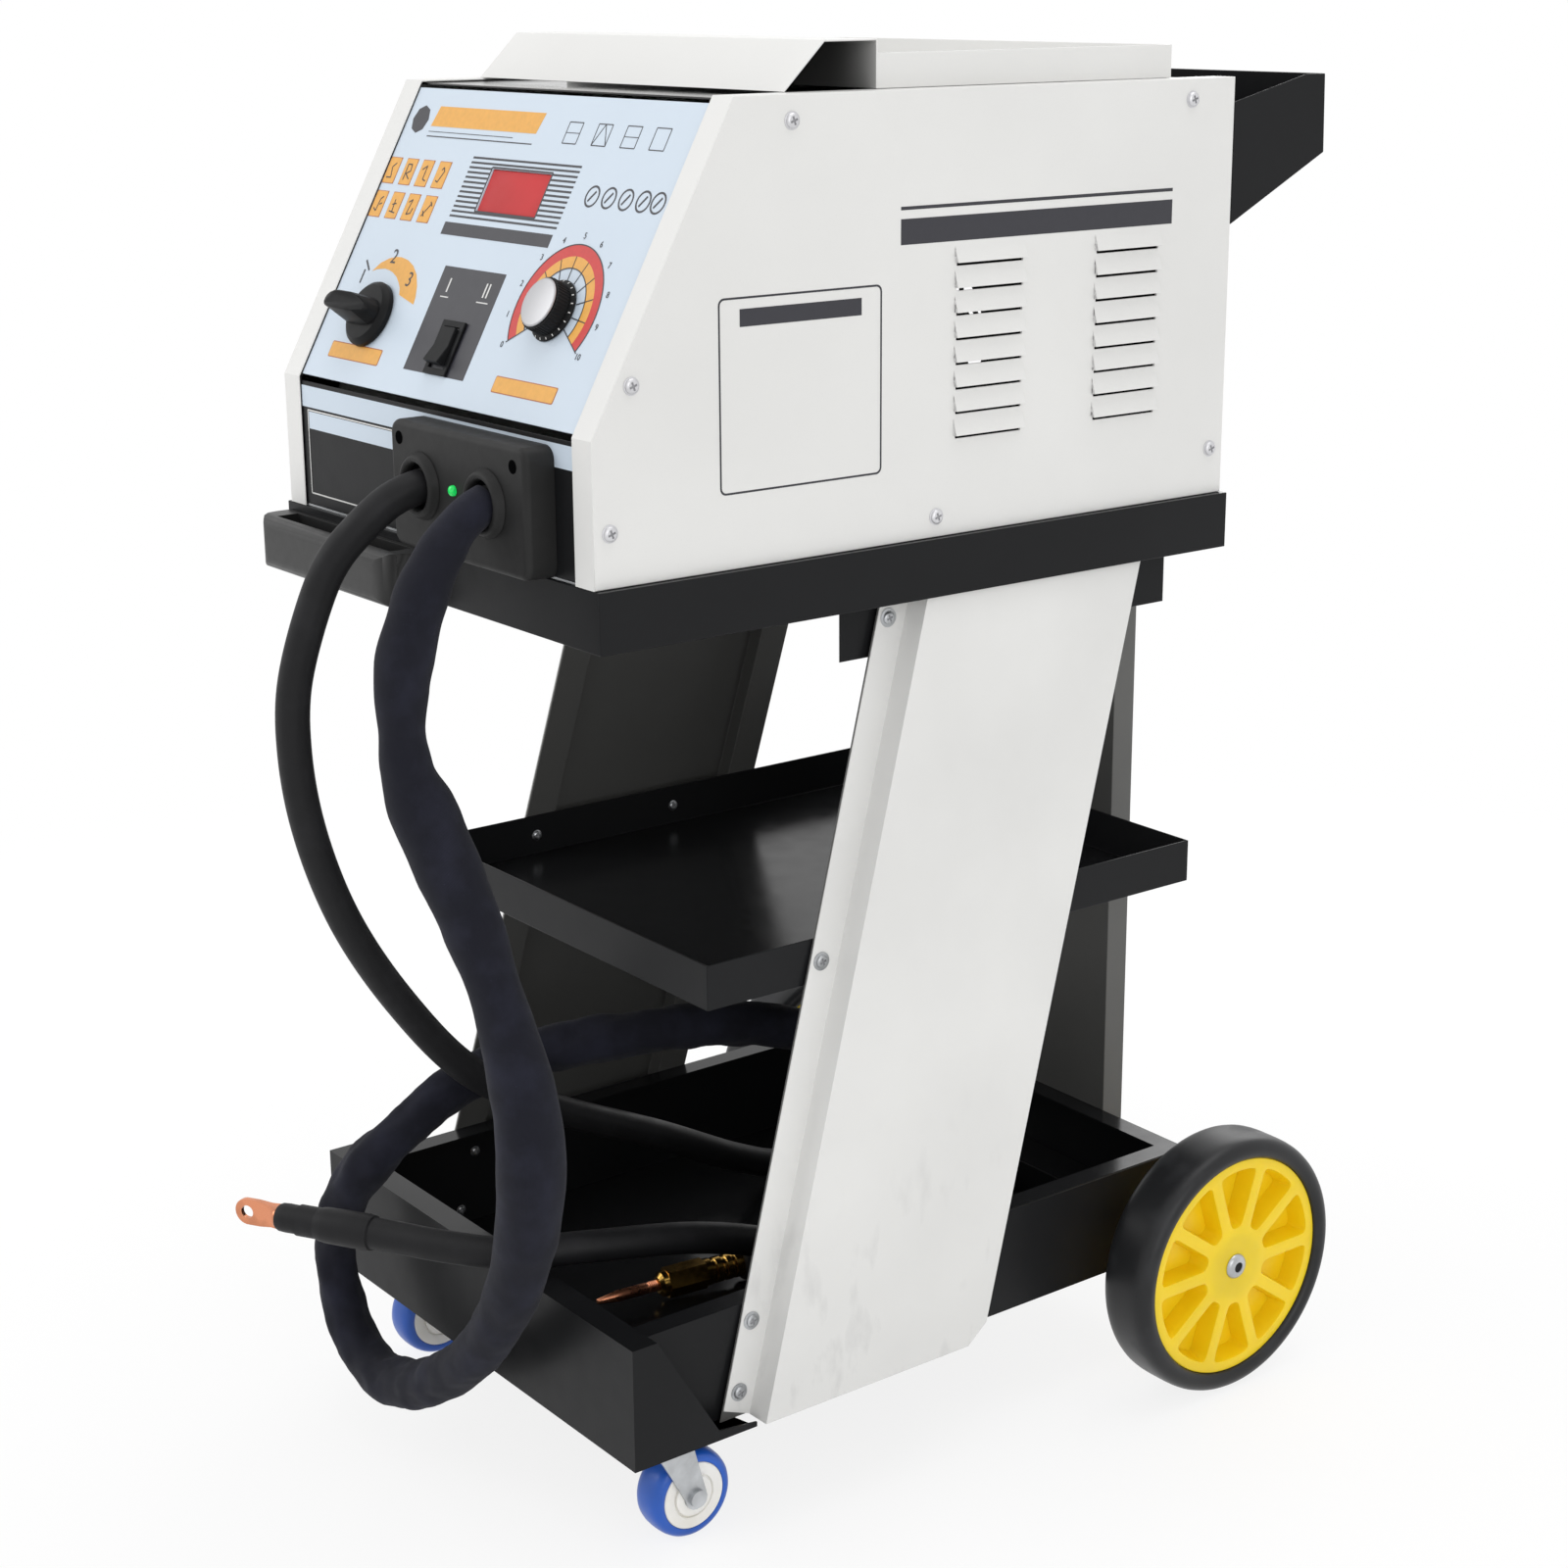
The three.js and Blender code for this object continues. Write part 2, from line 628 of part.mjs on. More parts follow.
function legCover() {
  const inner = LEG_SHEET + SEAT;
  const sheet = COVER_SHEET;
  const step = LEG_BAND - LEG_SHEET - SEAT - sheet;
  const end = LEG_LENGTH;
  const section = [
    [inner, 0], [inner + sheet, 0], [inner + sheet, step], [COVER_DEPTH, step],
    [COVER_DEPTH, end], [inner, end], [inner, end - sheet], [COVER_DEPTH - sheet, end - sheet],
    [COVER_DEPTH - sheet, step + sheet], [inner, step + sheet],
  ];
  const toe = [[-OVERRUN, -OVERRUN], [step, -OVERRUN], [step, 0], [-OVERRUN, COVER_TOE]];
  const heel = [
    [end - COVER_HEEL, -OVERRUN], [end + OVERRUN, -OVERRUN], [end + OVERRUN, COVER_HEEL],
    [end, COVER_HEEL], [end - COVER_HEEL, 0],
  ];
  const upright = cut(
    prismZ(section, 0, LEG_TOP - LOWER_BOTTOM),
    prismX(toe, 0, inner + sheet + SEAT),
    prismX(heel, 0, COVER_DEPTH + OVERRUN),
  );
  return leant(upright);
}

function rearPanel() {
  const front = TROLLEY_REAR + SEAT;
  const half = REAR_PANEL_HALF_WIDTH;
  const inner = half - REAR_PANEL_SHEET;
  const bottom = LOWER_TOP - REAR_PANEL_LAP;
  const top = SKIRT_BOTTOM - SEAT;
  const back = front + REAR_PANEL_SHEET;
  const flangeEnd = front + REAR_PANEL_FLANGE;
  return join(
    block(-half, half, front, back, bottom, top),
    block(inner, half, front, flangeEnd, bottom, top),
    block(-half, -inner, front, flangeEnd, bottom, top),
    block(TONGUE_INSET - half, half - TONGUE_INSET, front, back, top - OVERRUN, LEG_TOP),
  );
}

function buildTrolley() {
  const group = new THREE.Group();
  addMesh(group, "lower_tray", lowerTray(), FINISHES.blackPaint);
  addMesh(group, "axle_cover", axleCover(), FINISHES.blackPaint);
  addMesh(group, "middle_shelf", middleShelf(), FINISHES.blackPaint);
  addMesh(group, "machine_tray", machineTray(), FINISHES.blackPaint);
  addMesh(group, "rear_panel", rearPanel(), FINISHES.greyPaint);
  addPair(group, "rail", rail(), FINISHES.blackPaint);
  addPair(group, "leg_frame", legFrame(), FINISHES.greyPaint);
  addPair(group, "leg_cover", legCover(), FINISHES.whitePaint);
  return group;
}

// Rear wheels: a wheel's own frame has X along the axle, outwards

const BOSS_INNER = -WHEEL_WIDTH / 2;
const BOSS_OUTER = WHEEL_WIDTH / 2 - BOSS_INSET;

function wheelHub() {
  const rimHalf = HUB_WIDTH / 2;
  const bore = JOURNAL_RADIUS + RUNNING_GAP;
  const rimInner = HUB_RADIUS - HUB_RIM;
  const spokeHalf = rimHalf - SPOKE_INSET;
  const spokes = Array.from({ length: SPOKE_COUNT }, (_, i) => {
    const from = (bore + BOSS_RADIUS) / 2;
    const to = (rimInner + HUB_RADIUS) / 2;
    const spoke = new THREE.BoxGeometry(2 * spokeHalf, SPOKE_WIDTH, to - from);
    spoke.translate(0, 0, (from + to) / 2);
    return solidOf(spoke.rotateX((2 * Math.PI * i) / SPOKE_COUNT));
  });
  const body = join(
    ring(rimInner, HUB_RADIUS, -rimHalf, rimHalf, FINE_SIDES, "x"),
    disc((rimInner + HUB_RADIUS) / 2, -HUB_WEB / 2, HUB_WEB / 2, MEDIUM_SIDES, "x"),
    disc(BOSS_RADIUS, BOSS_INNER, BOSS_OUTER, MEDIUM_SIDES, "x"),
    ...spokes,
  );
  return cut(body, disc(bore, BOSS_INNER - OVERRUN, BOSS_OUTER + OVERRUN, COARSE_SIDES, "x"));
}

function wheelTyre() {
  const half = WHEEL_WIDTH / 2;
  const seat = TYRE_SEAT_WIDTH / 2;
  const inner = HUB_RADIUS + SEAT;
  const shoulder = roundedRectangle(
    inner, WHEEL_RADIUS, -half, half, [0, TYRE_SHOULDER, TYRE_SHOULDER, 0],
  );
  const profile = shoulder.filter(([r]) => r > inner);
  profile.push([(2 * inner + WHEEL_RADIUS) / 3, half], [inner, seat], [inner, -seat]);
  profile.push([(2 * inner + WHEEL_RADIUS) / 3, -half]);
  return turned(profile, FINE_SIDES, "x");
}

function rearAxle() {
  const shoulder = WHEEL_X + BOSS_INNER - SEAT;
  const end = WHEEL_X + BOSS_OUTER + SEAT + CAP_THICKNESS + AXLE_END;
  return turned(
    [
      [0, -end], [JOURNAL_RADIUS, -end], [JOURNAL_RADIUS, -shoulder], [AXLE_RADIUS, -shoulder],
      [AXLE_RADIUS, shoulder], [JOURNAL_RADIUS, shoulder], [JOURNAL_RADIUS, end], [0, end],
    ],
    COARSE_SIDES, "x",
  );
}

function buildRearWheels() {
  const group = new THREE.Group();
  group.position.set(0, AXLE_Y, WHEEL_RADIUS);
  addMesh(group, "rear_axle", rearAxle(), FINISHES.blackPaint);
  for (const [side, sign] of SIDES) {
    const wheel = new THREE.Group();
    wheel.position.x = sign * WHEEL_X;
    wheel.scale.x = sign;
    const capFrom = BOSS_OUTER + SEAT;
    addMesh(wheel, "wheel_hub_" + side, wheelHub(), FINISHES.yellowPlastic);
    addMesh(wheel, "tyre_" + side, wheelTyre(), FINISHES.tyre);
    addMesh(
      wheel, "axle_cap_" + side,
      ring(
        JOURNAL_RADIUS + SEAT, CAP_RADIUS, capFrom, capFrom + CAP_THICKNESS, COARSE_SIDES, "x",
      ),
      FINISHES.zinc,
    );
    group.add(wheel);
  }
  return group;
}

// Casters: a caster's own frame stands on the floor under its kingpin

const PLATE_TOP = LOWER_BOTTOM - SEAT;
const PLATE_BOTTOM = PLATE_TOP - CASTER_PLATE;
const CROWN_TOP = PLATE_BOTTOM - SEAT;
const CROWN_BOTTOM = CROWN_TOP - CROWN_HEIGHT;
const FORK_INNER = CASTER_WIDTH / 2 + FORK_GAP;

function casterPlate() {
  const halfWidth = CASTER_PLATE_WIDTH / 2;
  const halfLength = CASTER_PLATE_LENGTH / 2;
  const headTop = CROWN_BOTTOM - SEAT;
  const headBottom = headTop - KINGPIN_HEAD_HEIGHT;
  return join(
    block(-halfWidth, halfWidth, -halfLength, halfLength, PLATE_BOTTOM, PLATE_TOP),
    disc(KINGPIN_RADIUS, headBottom, PLATE_BOTTOM + CASTER_PLATE / 2, COARSE_SIDES, "z"),
    disc(KINGPIN_HEAD, headBottom, headTop, COARSE_SIDES, "z"),
  );
}

function forkArmOutline() {
  const eye = Array.from({ length: 2 * CORNER_STEPS + 1 }, (_, step) => {
    const angle = Math.PI + (step * Math.PI) / (2 * CORNER_STEPS);
    return [
      CASTER_TRAIL + FORK_EYE * Math.cos(angle),
      CASTER_RADIUS + FORK_EYE * Math.sin(angle),
    ];
  });
  return [[-FORK_SHOULDER, CROWN_TOP], ...eye, [FORK_SHOULDER, CROWN_TOP]];
}

function casterFork() {
  const outline = forkArmOutline();
  const outer = FORK_INNER + FORK_SHEET;
  const bolt = outer + CASTER_BOLT_HEAD_HEIGHT;
  const axle = [0, CASTER_TRAIL, CASTER_RADIUS];
  const bore = KINGPIN_RADIUS + RUNNING_GAP;
  const hole = disc(bore, CROWN_BOTTOM - OVERRUN, CROWN_TOP + OVERRUN, COARSE_SIDES, "z");
  const body = join(
    disc(CROWN_RADIUS, CROWN_BOTTOM, CROWN_TOP, MEDIUM_SIDES, "z"),
    prismX(outline, FORK_INNER, outer),
    prismX(outline, -outer, -FORK_INNER),
    disc(CASTER_BOLT, -bolt, bolt, COARSE_SIDES, "x", axle),
    disc(CASTER_BOLT_HEAD, outer - SEAT, bolt, COARSE_SIDES, "x", axle),
    disc(CASTER_BOLT_HEAD, -bolt, SEAT - outer, COARSE_SIDES, "x", axle),
  );
  return cut(body, hole);
}

function casterCore() {
  const half = CASTER_WIDTH / 2 + FORK_GAP - SEAT;
  const bottomOfGroove = half - CORE_GROOVE_DEPTH;
  const grooveEnd = CORE_GROOVE_RADIUS + CORE_GROOVE_WIDTH;
  const bore = CASTER_BOLT + RUNNING_GAP;
  return turned(
    [
      [bore, -half], [CORE_GROOVE_RADIUS, -half], [CORE_GROOVE_RADIUS, -bottomOfGroove],
      [grooveEnd, -bottomOfGroove], [grooveEnd, -CASTER_WIDTH / 2],
      [CORE_RADIUS, -CASTER_WIDTH / 2], [CORE_RADIUS, CASTER_WIDTH / 2],
      [grooveEnd, CASTER_WIDTH / 2], [grooveEnd, bottomOfGroove],
      [CORE_GROOVE_RADIUS, bottomOfGroove], [CORE_GROOVE_RADIUS, half], [bore, half],
    ],
    MEDIUM_SIDES, "x",
  );
}

function casterTread() {
  const half = CASTER_WIDTH / 2;
  const profile = roundedRectangle(
    CORE_RADIUS + SEAT, CASTER_RADIUS, -half, half, [0, TREAD_CROWN, TREAD_CROWN, 0],
  );
  return turned(profile, MEDIUM_SIDES, "x");
}

function buildCasters() {
  const group = new THREE.Group();
  group.position.y = LOWER_FRONT + CASTER_SETBACK;
  for (const [side, sign] of SIDES) {
    const caster = new THREE.Group();
    caster.position.x = sign * CASTER_X;
    addMesh(caster, "caster_plate_" + side, casterPlate(), FINISHES.zinc);
    addMesh(caster, "caster_fork_" + side, casterFork(), FINISHES.zinc);
    const wheel = new THREE.Group();
    wheel.position.set(0, CASTER_TRAIL, CASTER_RADIUS);
    addMesh(wheel, "caster_core_" + side, casterCore(), FINISHES.greyPlastic);
    addMesh(wheel, "caster_tread_" + side, casterTread(), FINISHES.blueTread);
    caster.add(wheel);
    group.add(caster);
  }
  return group;
}

// Machine case

function louvreCuts() {
  const skin = CASE_HALF;
  const lean = LOUVRE_REACH / LOUVRE_HEIGHT;
  const hoods = [];
  const slots = [];
  for (const offset of LOUVRE_COLUMN_OFFSETS) {
    const rear = CASE_REAR - offset + LOUVRE_LENGTH;
    const front = rear - LOUVRE_LENGTH;
    for (let row = 0; row < LOUVRE_COUNT; row += 1) {
      const lip = CASE_TOP - LOUVRE_TOP_DROP - row * LOUVRE_PITCH;
      const top = lip + LOUVRE_HEIGHT;
      const deep = CASE_INNER - OVERRUN;
      const roof = top - OVERRUN;
      const mouth = lip - LOUVRE_GAP;
      const throat = skin - CASE_SHEET + lean * (top - roof);
      const wedge = [[skin - CASE_SHEET / 2, lip], [skin + LOUVRE_REACH, lip]];
      wedge.push([skin, top], [skin - CASE_SHEET / 2, top]);
      const hollow = [[deep, mouth], [throat + lean * (roof - mouth), mouth]];
      hollow.push([throat, roof], [deep, roof]);
      hoods.push(prismY(wedge, front, rear));
      slots.push(prismY(hollow, front + CASE_SHEET, rear - CASE_SHEET));
    }
  }
  return { hoods, slots };
}

function sidePanel() {
  const outline = [
    [CASE_FRONT, CASE_BOTTOM], [CASE_REAR, CASE_BOTTOM], [CASE_REAR, CASE_TOP],
    [SLOPE_TOP_Y, CASE_TOP], [CASE_FRONT, BEND_HEIGHT],
  ];
  const inside = inset(outline, [-OVERRUN, -OVERRUN, CASE_SHEET, CASE_SHEET, CASE_SHEET]);
  const flangeEnd = CASE_HALF - CASE_FLANGE;
  const { hoods, slots } = louvreCuts();
  const shell = cut(
    prismX(outline, flangeEnd, CASE_HALF),
    prismX(inside, flangeEnd - OVERRUN, CASE_INNER),
  );
  return cut(join(shell, ...hoods), ...slots);
}

// Seats behind the side panels' flanges
const FLANGE_BACK = CASE_SHEET + SEAT;
const PLATE_FRONT = CASE_FRONT + FLANGE_BACK;
const PLATE_REAR = CASE_REAR - CASE_SHEET;
const PAN_TOP = CASE_BOTTOM + CASE_SHEET;

function lowerFrontPanel() {
  return block(
    -INSIDE_HALF, INSIDE_HALF, PLATE_FRONT, PLATE_FRONT + PANEL_SHEET,
    PAN_TOP + SEAT, BEND_HEIGHT - PANEL_END_GAP,
  );
}

function basePan() {
  return block(
    -INSIDE_HALF, INSIDE_HALF, PLATE_FRONT, PLATE_REAR - SEAT, CASE_BOTTOM, PAN_TOP,
  );
}

function topCover() {
  const top = CASE_TOP - FLANGE_BACK;
  return block(
    -INSIDE_HALF, INSIDE_HALF, SLOPE_TOP_Y + PANEL_END_GAP, CASE_REAR, top - PANEL_SHEET, top,
  );
}

function backPanel() {
  const bottom = PAN_TOP - CASE_SHEET;
  const top = CASE_TOP - FLANGE_BACK - PANEL_SHEET - SEAT;
  const fan = [FAN_X, 0, CASE_BOTTOM + FAN_UP];
  const opening = FAN_SIZE / 2 - FAN_WALL;
  const through = [PLATE_REAR - OVERRUN, CASE_REAR + OVERRUN];
  const plate = cut(
    block(-INSIDE_HALF, INSIDE_HALF, PLATE_REAR, CASE_REAR, bottom, top),
    disc(opening, ...through, MEDIUM_SIDES, "y", fan),
    disc(
      MAINS_SPIGOT + SEAT, ...through, COARSE_SIDES, "y", [MAINS_X, 0, CASE_BOTTOM + MAINS_UP],
    ),
  );
  const rings = GRILLE_RING_SHARES.map((share) =>
    ring(
      share * opening, share * opening + GRILLE_BAR, PLATE_REAR, CASE_REAR, MEDIUM_SIDES, "y", fan,
    ),
  );
  const reach = opening + GRILLE_BAR;
  const halfBar = GRILLE_BAR / 2;
  const [x, , z] = fan;
  return join(
    plate,
    ...rings,
    block(x - reach, x + reach, PLATE_REAR, CASE_REAR, z - halfBar, z + halfBar),
    block(x - halfBar, x + halfBar, PLATE_REAR, CASE_REAR, z - reach, z + reach),
  );
}

function mainsGland() {
  const at = [MAINS_X, 0, CASE_BOTTOM + MAINS_UP];
  const outside = CASE_REAR + SEAT;
  const end = PLATE_REAR - MAINS_INNER;
  return cut(
    join(
      disc(MAINS_RADIUS, outside, outside + MAINS_PROUD, COARSE_SIDES, "y", at),
      disc(MAINS_SPIGOT, end, outside + OVERRUN, COARSE_SIDES, "y", at),
    ),
    disc(MAINS_BORE, end - OVERRUN, outside + MAINS_PROUD + OVERRUN, COARSE_SIDES, "y", at),
  );
}

function rearBin() {
  const front = CASE_REAR + SEAT;
  const rear = front + BIN_REACH;
  const outline = [
    [front, CASE_TOP - BIN_DEPTH], [rear + BIN_REAR_SLANT, CASE_TOP - BIN_REAR_HEIGHT],
    [rear, CASE_TOP], [front + BIN_TOP_REACH, CASE_TOP], [front, CASE_TOP - BIN_FRONT_DROP],
  ];
  const open = -BIN_FRONT_DROP;
  const hollow = inset(outline, [BIN_SHEET, BIN_SHEET, open, open, BIN_SHEET]);
  return cut(
    prismX(outline, -CASE_HALF, CASE_HALF),
    prismX(hollow, BIN_SHEET - CASE_HALF, CASE_HALF - BIN_SHEET),
  );
}

function toolTray() {
  const sheet = TOOL_SHEET;
  const half = TOOL_HALF_WIDTH;
  const bottom = CASE_TOP + SEAT;
  const front = CASE_FRONT + TOOL_FRONT_SETBACK;
  const rear = front + TOOL_LENGTH;
  const hoodTop = bottom + HOOD_RISE;
  const crest = front - HOOD_TOP;
  const hood = [
    [crest - HOOD_SLOPE, bottom], [crest - HOOD_SLOPE + sheet, bottom],
    [crest + sheet / 2, hoodTop - sheet], [front, hoodTop - sheet],
    [front, bottom], [front + sheet, bottom], [front + sheet, hoodTop], [crest, hoodTop],
  ];
  return join(
    foldedTray(half, front, rear, bottom, bottom + TOOL_WALL, sheet),
    prismX(hood, -half, half),
  );
}

function frontHandle() {
  const rear = CASE_FRONT - SEAT;
  const top = DECK_HEIGHT - HANDLE_TOP_DROP;
  const bottom = top - HANDLE_HEIGHT;
  const edge = HANDLE_EDGE;
  const plan = roundedRectangle(
    -HANDLE_LENGTH, 0, HANDLE_FRONT, rear, [HANDLE_CORNER, HANDLE_SWEEP, 0, 0],
  );
  const side = roundedRectangle(HANDLE_FRONT, rear, bottom, top, [edge, 0, 0, edge]);
  const solid = prismZ(plan, bottom, top).intersect(
    prismX(side, -HANDLE_LENGTH - OVERRUN, OVERRUN),
  );
  const pocket = block(
    HANDLE_END - HANDLE_LENGTH, -HANDLE_END, HANDLE_FRONT + HANDLE_BAR, rear - HANDLE_BACK,
    bottom + HANDLE_FLOOR, top + OVERRUN,
  );
  return cut(solid, pocket);
}

function cableOutletBlock() {
  const rear = PLATE_FRONT - SEAT;
  const bottom = DECK_HEIGHT + SEAT;
  const top = bottom + OUTLET_HEIGHT;
  const left = OUTLET_X - OUTLET_WIDTH / 2;
  const right = OUTLET_X + OUTLET_WIDTH / 2;
  const corner = OUTLET_CORNER;
  const face = roundedRectangle(left, right, bottom, top, [0, 0, corner, corner]);
  const side = roundedRectangle(OUTLET_FRONT, rear, bottom, top, [0, 0, 0, corner]);
  const plan = roundedRectangle(left, right, OUTLET_FRONT, rear, [corner, corner, 0, 0]);
  const body = prismY(face, OUTLET_FRONT, rear)
    .intersect(prismX(side, left - OVERRUN, right + OVERRUN))
    .intersect(prismZ(plan, bottom - OVERRUN, top + OVERRUN));
  const hole = GLAND_SPIGOT + SEAT;
  const depth = [OUTLET_FRONT - OVERRUN, rear + OVERRUN];
  const lampEnd = OUTLET_FRONT - LAMP_PROUD + LAMP_LENGTH + SEAT;
  const lampX = (EARTH_X + TORCH_X) / 2;
  return cut(
    body,
    disc(hole, ...depth, MEDIUM_SIDES, "y", [EARTH_X, 0, GLAND_Z]),
    disc(hole, ...depth, MEDIUM_SIDES, "y", [TORCH_X, 0, GLAND_Z]),
    disc(
      LAMP_RADIUS + SEAT, OUTLET_FRONT - OVERRUN, lampEnd, COARSE_SIDES, "y",
      [lampX, 0, GLAND_Z + LAMP_RISE],
    ),
  );
}

// A gland is a cup: the cable starts on its floor, level with the block's face.
function gland(x, cableRadius) {
  const face = OUTLET_FRONT - SEAT;
  const mouth = face - GLAND_PROUD;
  const floor = face + SEAT;
  const at = [x, 0, GLAND_Z];
  const cup = join(
    disc(GLAND_RADIUS, mouth, face, MEDIUM_SIDES, "y", at),
    disc(GLAND_SPIGOT, face - OVERRUN, PLATE_FRONT - SEAT, MEDIUM_SIDES, "y", at),
  );
  const bore = disc(cableRadius + SEAT, mouth - OVERRUN, floor, MEDIUM_SIDES, "y", at);
  return cut(cup, bore);
}

function powerLamp() {
  const front = OUTLET_FRONT - LAMP_PROUD;
  const at = [(EARTH_X + TORCH_X) / 2, 0, GLAND_Z + LAMP_RISE];
  return disc(LAMP_RADIUS, front, front + LAMP_LENGTH, COARSE_SIDES, "y", at);
}

function buildCase() {
  const group = new THREE.Group();
  addPair(group, "side_panel", sidePanel(), FINISHES.whitePaint);
  addMesh(group, "base_pan", basePan(), FINISHES.zinc);
  addMesh(group, "top_cover", topCover(), FINISHES.glossBlack);
  addMesh(group, "lower_front_panel", lowerFrontPanel(), FINISHES.blackPaint);
  addMesh(group, "back_panel", backPanel(), FINISHES.blackPaint);
  addMesh(group, "mains_gland", mainsGland(), FINISHES.blackPlastic);
  addMesh(group, "rear_bin", rearBin(), FINISHES.blackPaint);
  addMesh(group, "tool_tray", toolTray(), FINISHES.whitePaint);
  addMesh(group, "front_handle", frontHandle(), FINISHES.blackPlastic);
  addMesh(group, "cable_outlet_block", cableOutletBlock(), FINISHES.blackPlastic);
  addMesh(group, "gland_earth", gland(EARTH_X, EARTH_RADIUS), FINISHES.rubber);
  addMesh(group, "gland_torch", gland(TORCH_X, TORCH_RADIUS), FINISHES.rubber);
  addMesh(group, "power_lamp", powerLamp(), FINISHES.greenLens);
  return group;
}

// Control panel: its own frame has X across, Y up the slope from the bend, Z out of the slope

const PANEL_FRONT = -FLANGE_BACK;
const PANEL_BACK = PANEL_FRONT - PANEL_SHEET;
const KNOB_BASE = PANEL_FRONT + KNOB_LIFT;
const SWITCH_FRONT = PANEL_BACK - SEAT;
const SHAFT_END = SWITCH_FRONT - SHAFT_ENGAGEMENT;
const SHAFT_BORE = SHAFT_RADIUS + RUNNING_GAP;

function rockerHole(clearance) {
  const halfWidth = ROCKER_WIDTH / 2 + SEAT + HOUSING_WALL + clearance;
  const halfLength = ROCKER_LENGTH / 2 + ROCKER_CLEARANCE + HOUSING_WALL + clearance;
  return [-halfWidth, halfWidth, -halfLength, halfLength];
}

function placedBlock(x, up, [x0, x1, y0, y1], z0, z1) {
  return block(x + x0, x + x1, up + y0, up + y1, z0, z1);
}

function centred(width, height) {
  return [-width / 2, width / 2, -height / 2, height / 2];
}

function controlPanel() {
  const window = centred(WINDOW_WIDTH + 2 * SEAT, WINDOW_HEIGHT + 2 * SEAT);
  const through = [PANEL_BACK - OVERRUN, PANEL_FRONT + OVERRUN];
  return cut(
    block(
      -INSIDE_HALF, INSIDE_HALF, PANEL_END_GAP, SLOPE_LENGTH - PANEL_END_GAP - PANEL_SHEET,
      PANEL_BACK, PANEL_FRONT,
    ),
    placedBlock(WINDOW_X, WINDOW_UP, window, ...through),
    placedBlock(ROCKER_X, ROCKER_UP, rockerHole(SEAT), ...through),
    disc(SHAFT_BORE, ...through, COARSE_SIDES, "z", [SELECTOR_X, SELECTOR_UP, 0]),
    disc(SHAFT_BORE, ...through, COARSE_SIDES, "z", [TIMER_X, TIMER_UP, 0]),
  );
}

function displayWindow() {
  const front = PANEL_FRONT - WINDOW_RECESS;
  return placedBlock(
    WINDOW_X, WINDOW_UP, centred(WINDOW_WIDTH, WINDOW_HEIGHT), front - WINDOW_THICKNESS, front,
  );
}

function selectorKnob() {
  const top = KNOB_BASE + SELECTOR_DISC;
  const gripTop = KNOB_BASE + SELECTOR_GRIP_HEIGHT;
  const half = SELECTOR_GRIP_WIDTH / 2;
  const reach = SELECTOR_GRIP_REACH;
  const tail = SELECTOR_RADIUS * Math.SQRT1_2;
  const grip = [
    [tail, -half], [tail, half], [-tail, half], [-reach, half / 4], [-reach, -half / 4], [-tail, -half],
  ];
  return join(
    turned(
      [
        [0, KNOB_BASE], [SELECTOR_RADIUS, KNOB_BASE], [SELECTOR_RADIUS, (KNOB_BASE + top) / 2],
        [SELECTOR_RADIUS - half / 2, top], [0, top],
      ],
      MEDIUM_SIDES, "z",
    ),
    prismZ(grip, (KNOB_BASE + top) / 2, gripTop),
    disc(SHAFT_RADIUS, SHAFT_END, (KNOB_BASE + top) / 2, COARSE_SIDES, "z"),
  );
}

function boredBody(solid) {
  return cut(
    solid,
    disc(SHAFT_BORE, SHAFT_END - SEAT, SWITCH_FRONT + OVERRUN, COARSE_SIDES, "z"),
  );
}

function timerKnob() {
  const top = KNOB_BASE + TIMER_HEIGHT;
  const skirtTop = KNOB_BASE + (TIMER_SKIRT - TIMER_RADIUS);
  return join(
    turned(
      [
        [0, KNOB_BASE], [TIMER_SKIRT, KNOB_BASE], [TIMER_SKIRT, skirtTop],
        [TIMER_RADIUS, skirtTop], [TIMER_RADIUS, top], [0, top],
      ],
      MEDIUM_SIDES, "z",
    ),
    disc(SHAFT_RADIUS, SHAFT_END, skirtTop, COARSE_SIDES, "z"),
  );
}

function timerCap() {
  const from = KNOB_BASE + TIMER_HEIGHT + SEAT;
  return disc(TIMER_CAP_RADIUS, from, from + TIMER_CAP_THICKNESS, MEDIUM_SIDES, "z");
}

// The rocker's own frame is at its pivot, with X along the pin.
function rocker() {
  const half = ROCKER_LENGTH / 2;
  const tilt = ROCKER_SWING_SHARE;
  const bottom = -ROCKER_HEIGHT;
  const outline = [
    [-half, tilt * half], [-half / 2, bottom], [half / 2, bottom], [half, tilt * half],
    [half, ROCKER_HEIGHT + tilt * half], [0, ROCKER_HEIGHT], [-half, ROCKER_HEIGHT + tilt * half],
  ];
  const halfWidth = ROCKER_WIDTH / 2;
  const pin = halfWidth + SEAT + HOUSING_WALL / 2;
  return join(
    prismX(outline, -halfWidth, halfWidth),
    disc(ROCKER_PIN, -pin, pin, COARSE_SIDES, "x"),
  );
}

function rockerHousing() {
  const pivot = PANEL_FRONT;
  const lipBottom = PANEL_FRONT + SEAT;
  const lipTop = lipBottom + HOUSING_LIP;
  const bottom = pivot - HOUSING_DEPTH;
  const body = rockerHole(0);
  const lip = rockerHole(HOUSING_LIP);
  const hollow = rockerHole(-HOUSING_WALL);
  const pin = ROCKER_WIDTH / 2 + SEAT + HOUSING_WALL / 2 + SEAT;
  const box = join(
    placedBlock(0, 0, body, bottom, lipBottom + SEAT),
    placedBlock(0, 0, lip, lipBottom, lipTop),
  );
  return cut(
    box,
    placedBlock(0, 0, hollow, bottom + HOUSING_WALL, lipTop + OVERRUN),
    disc(ROCKER_PIN + RUNNING_GAP, -pin, pin, COARSE_SIDES, "x", [0, 0, pivot]),
  );
}

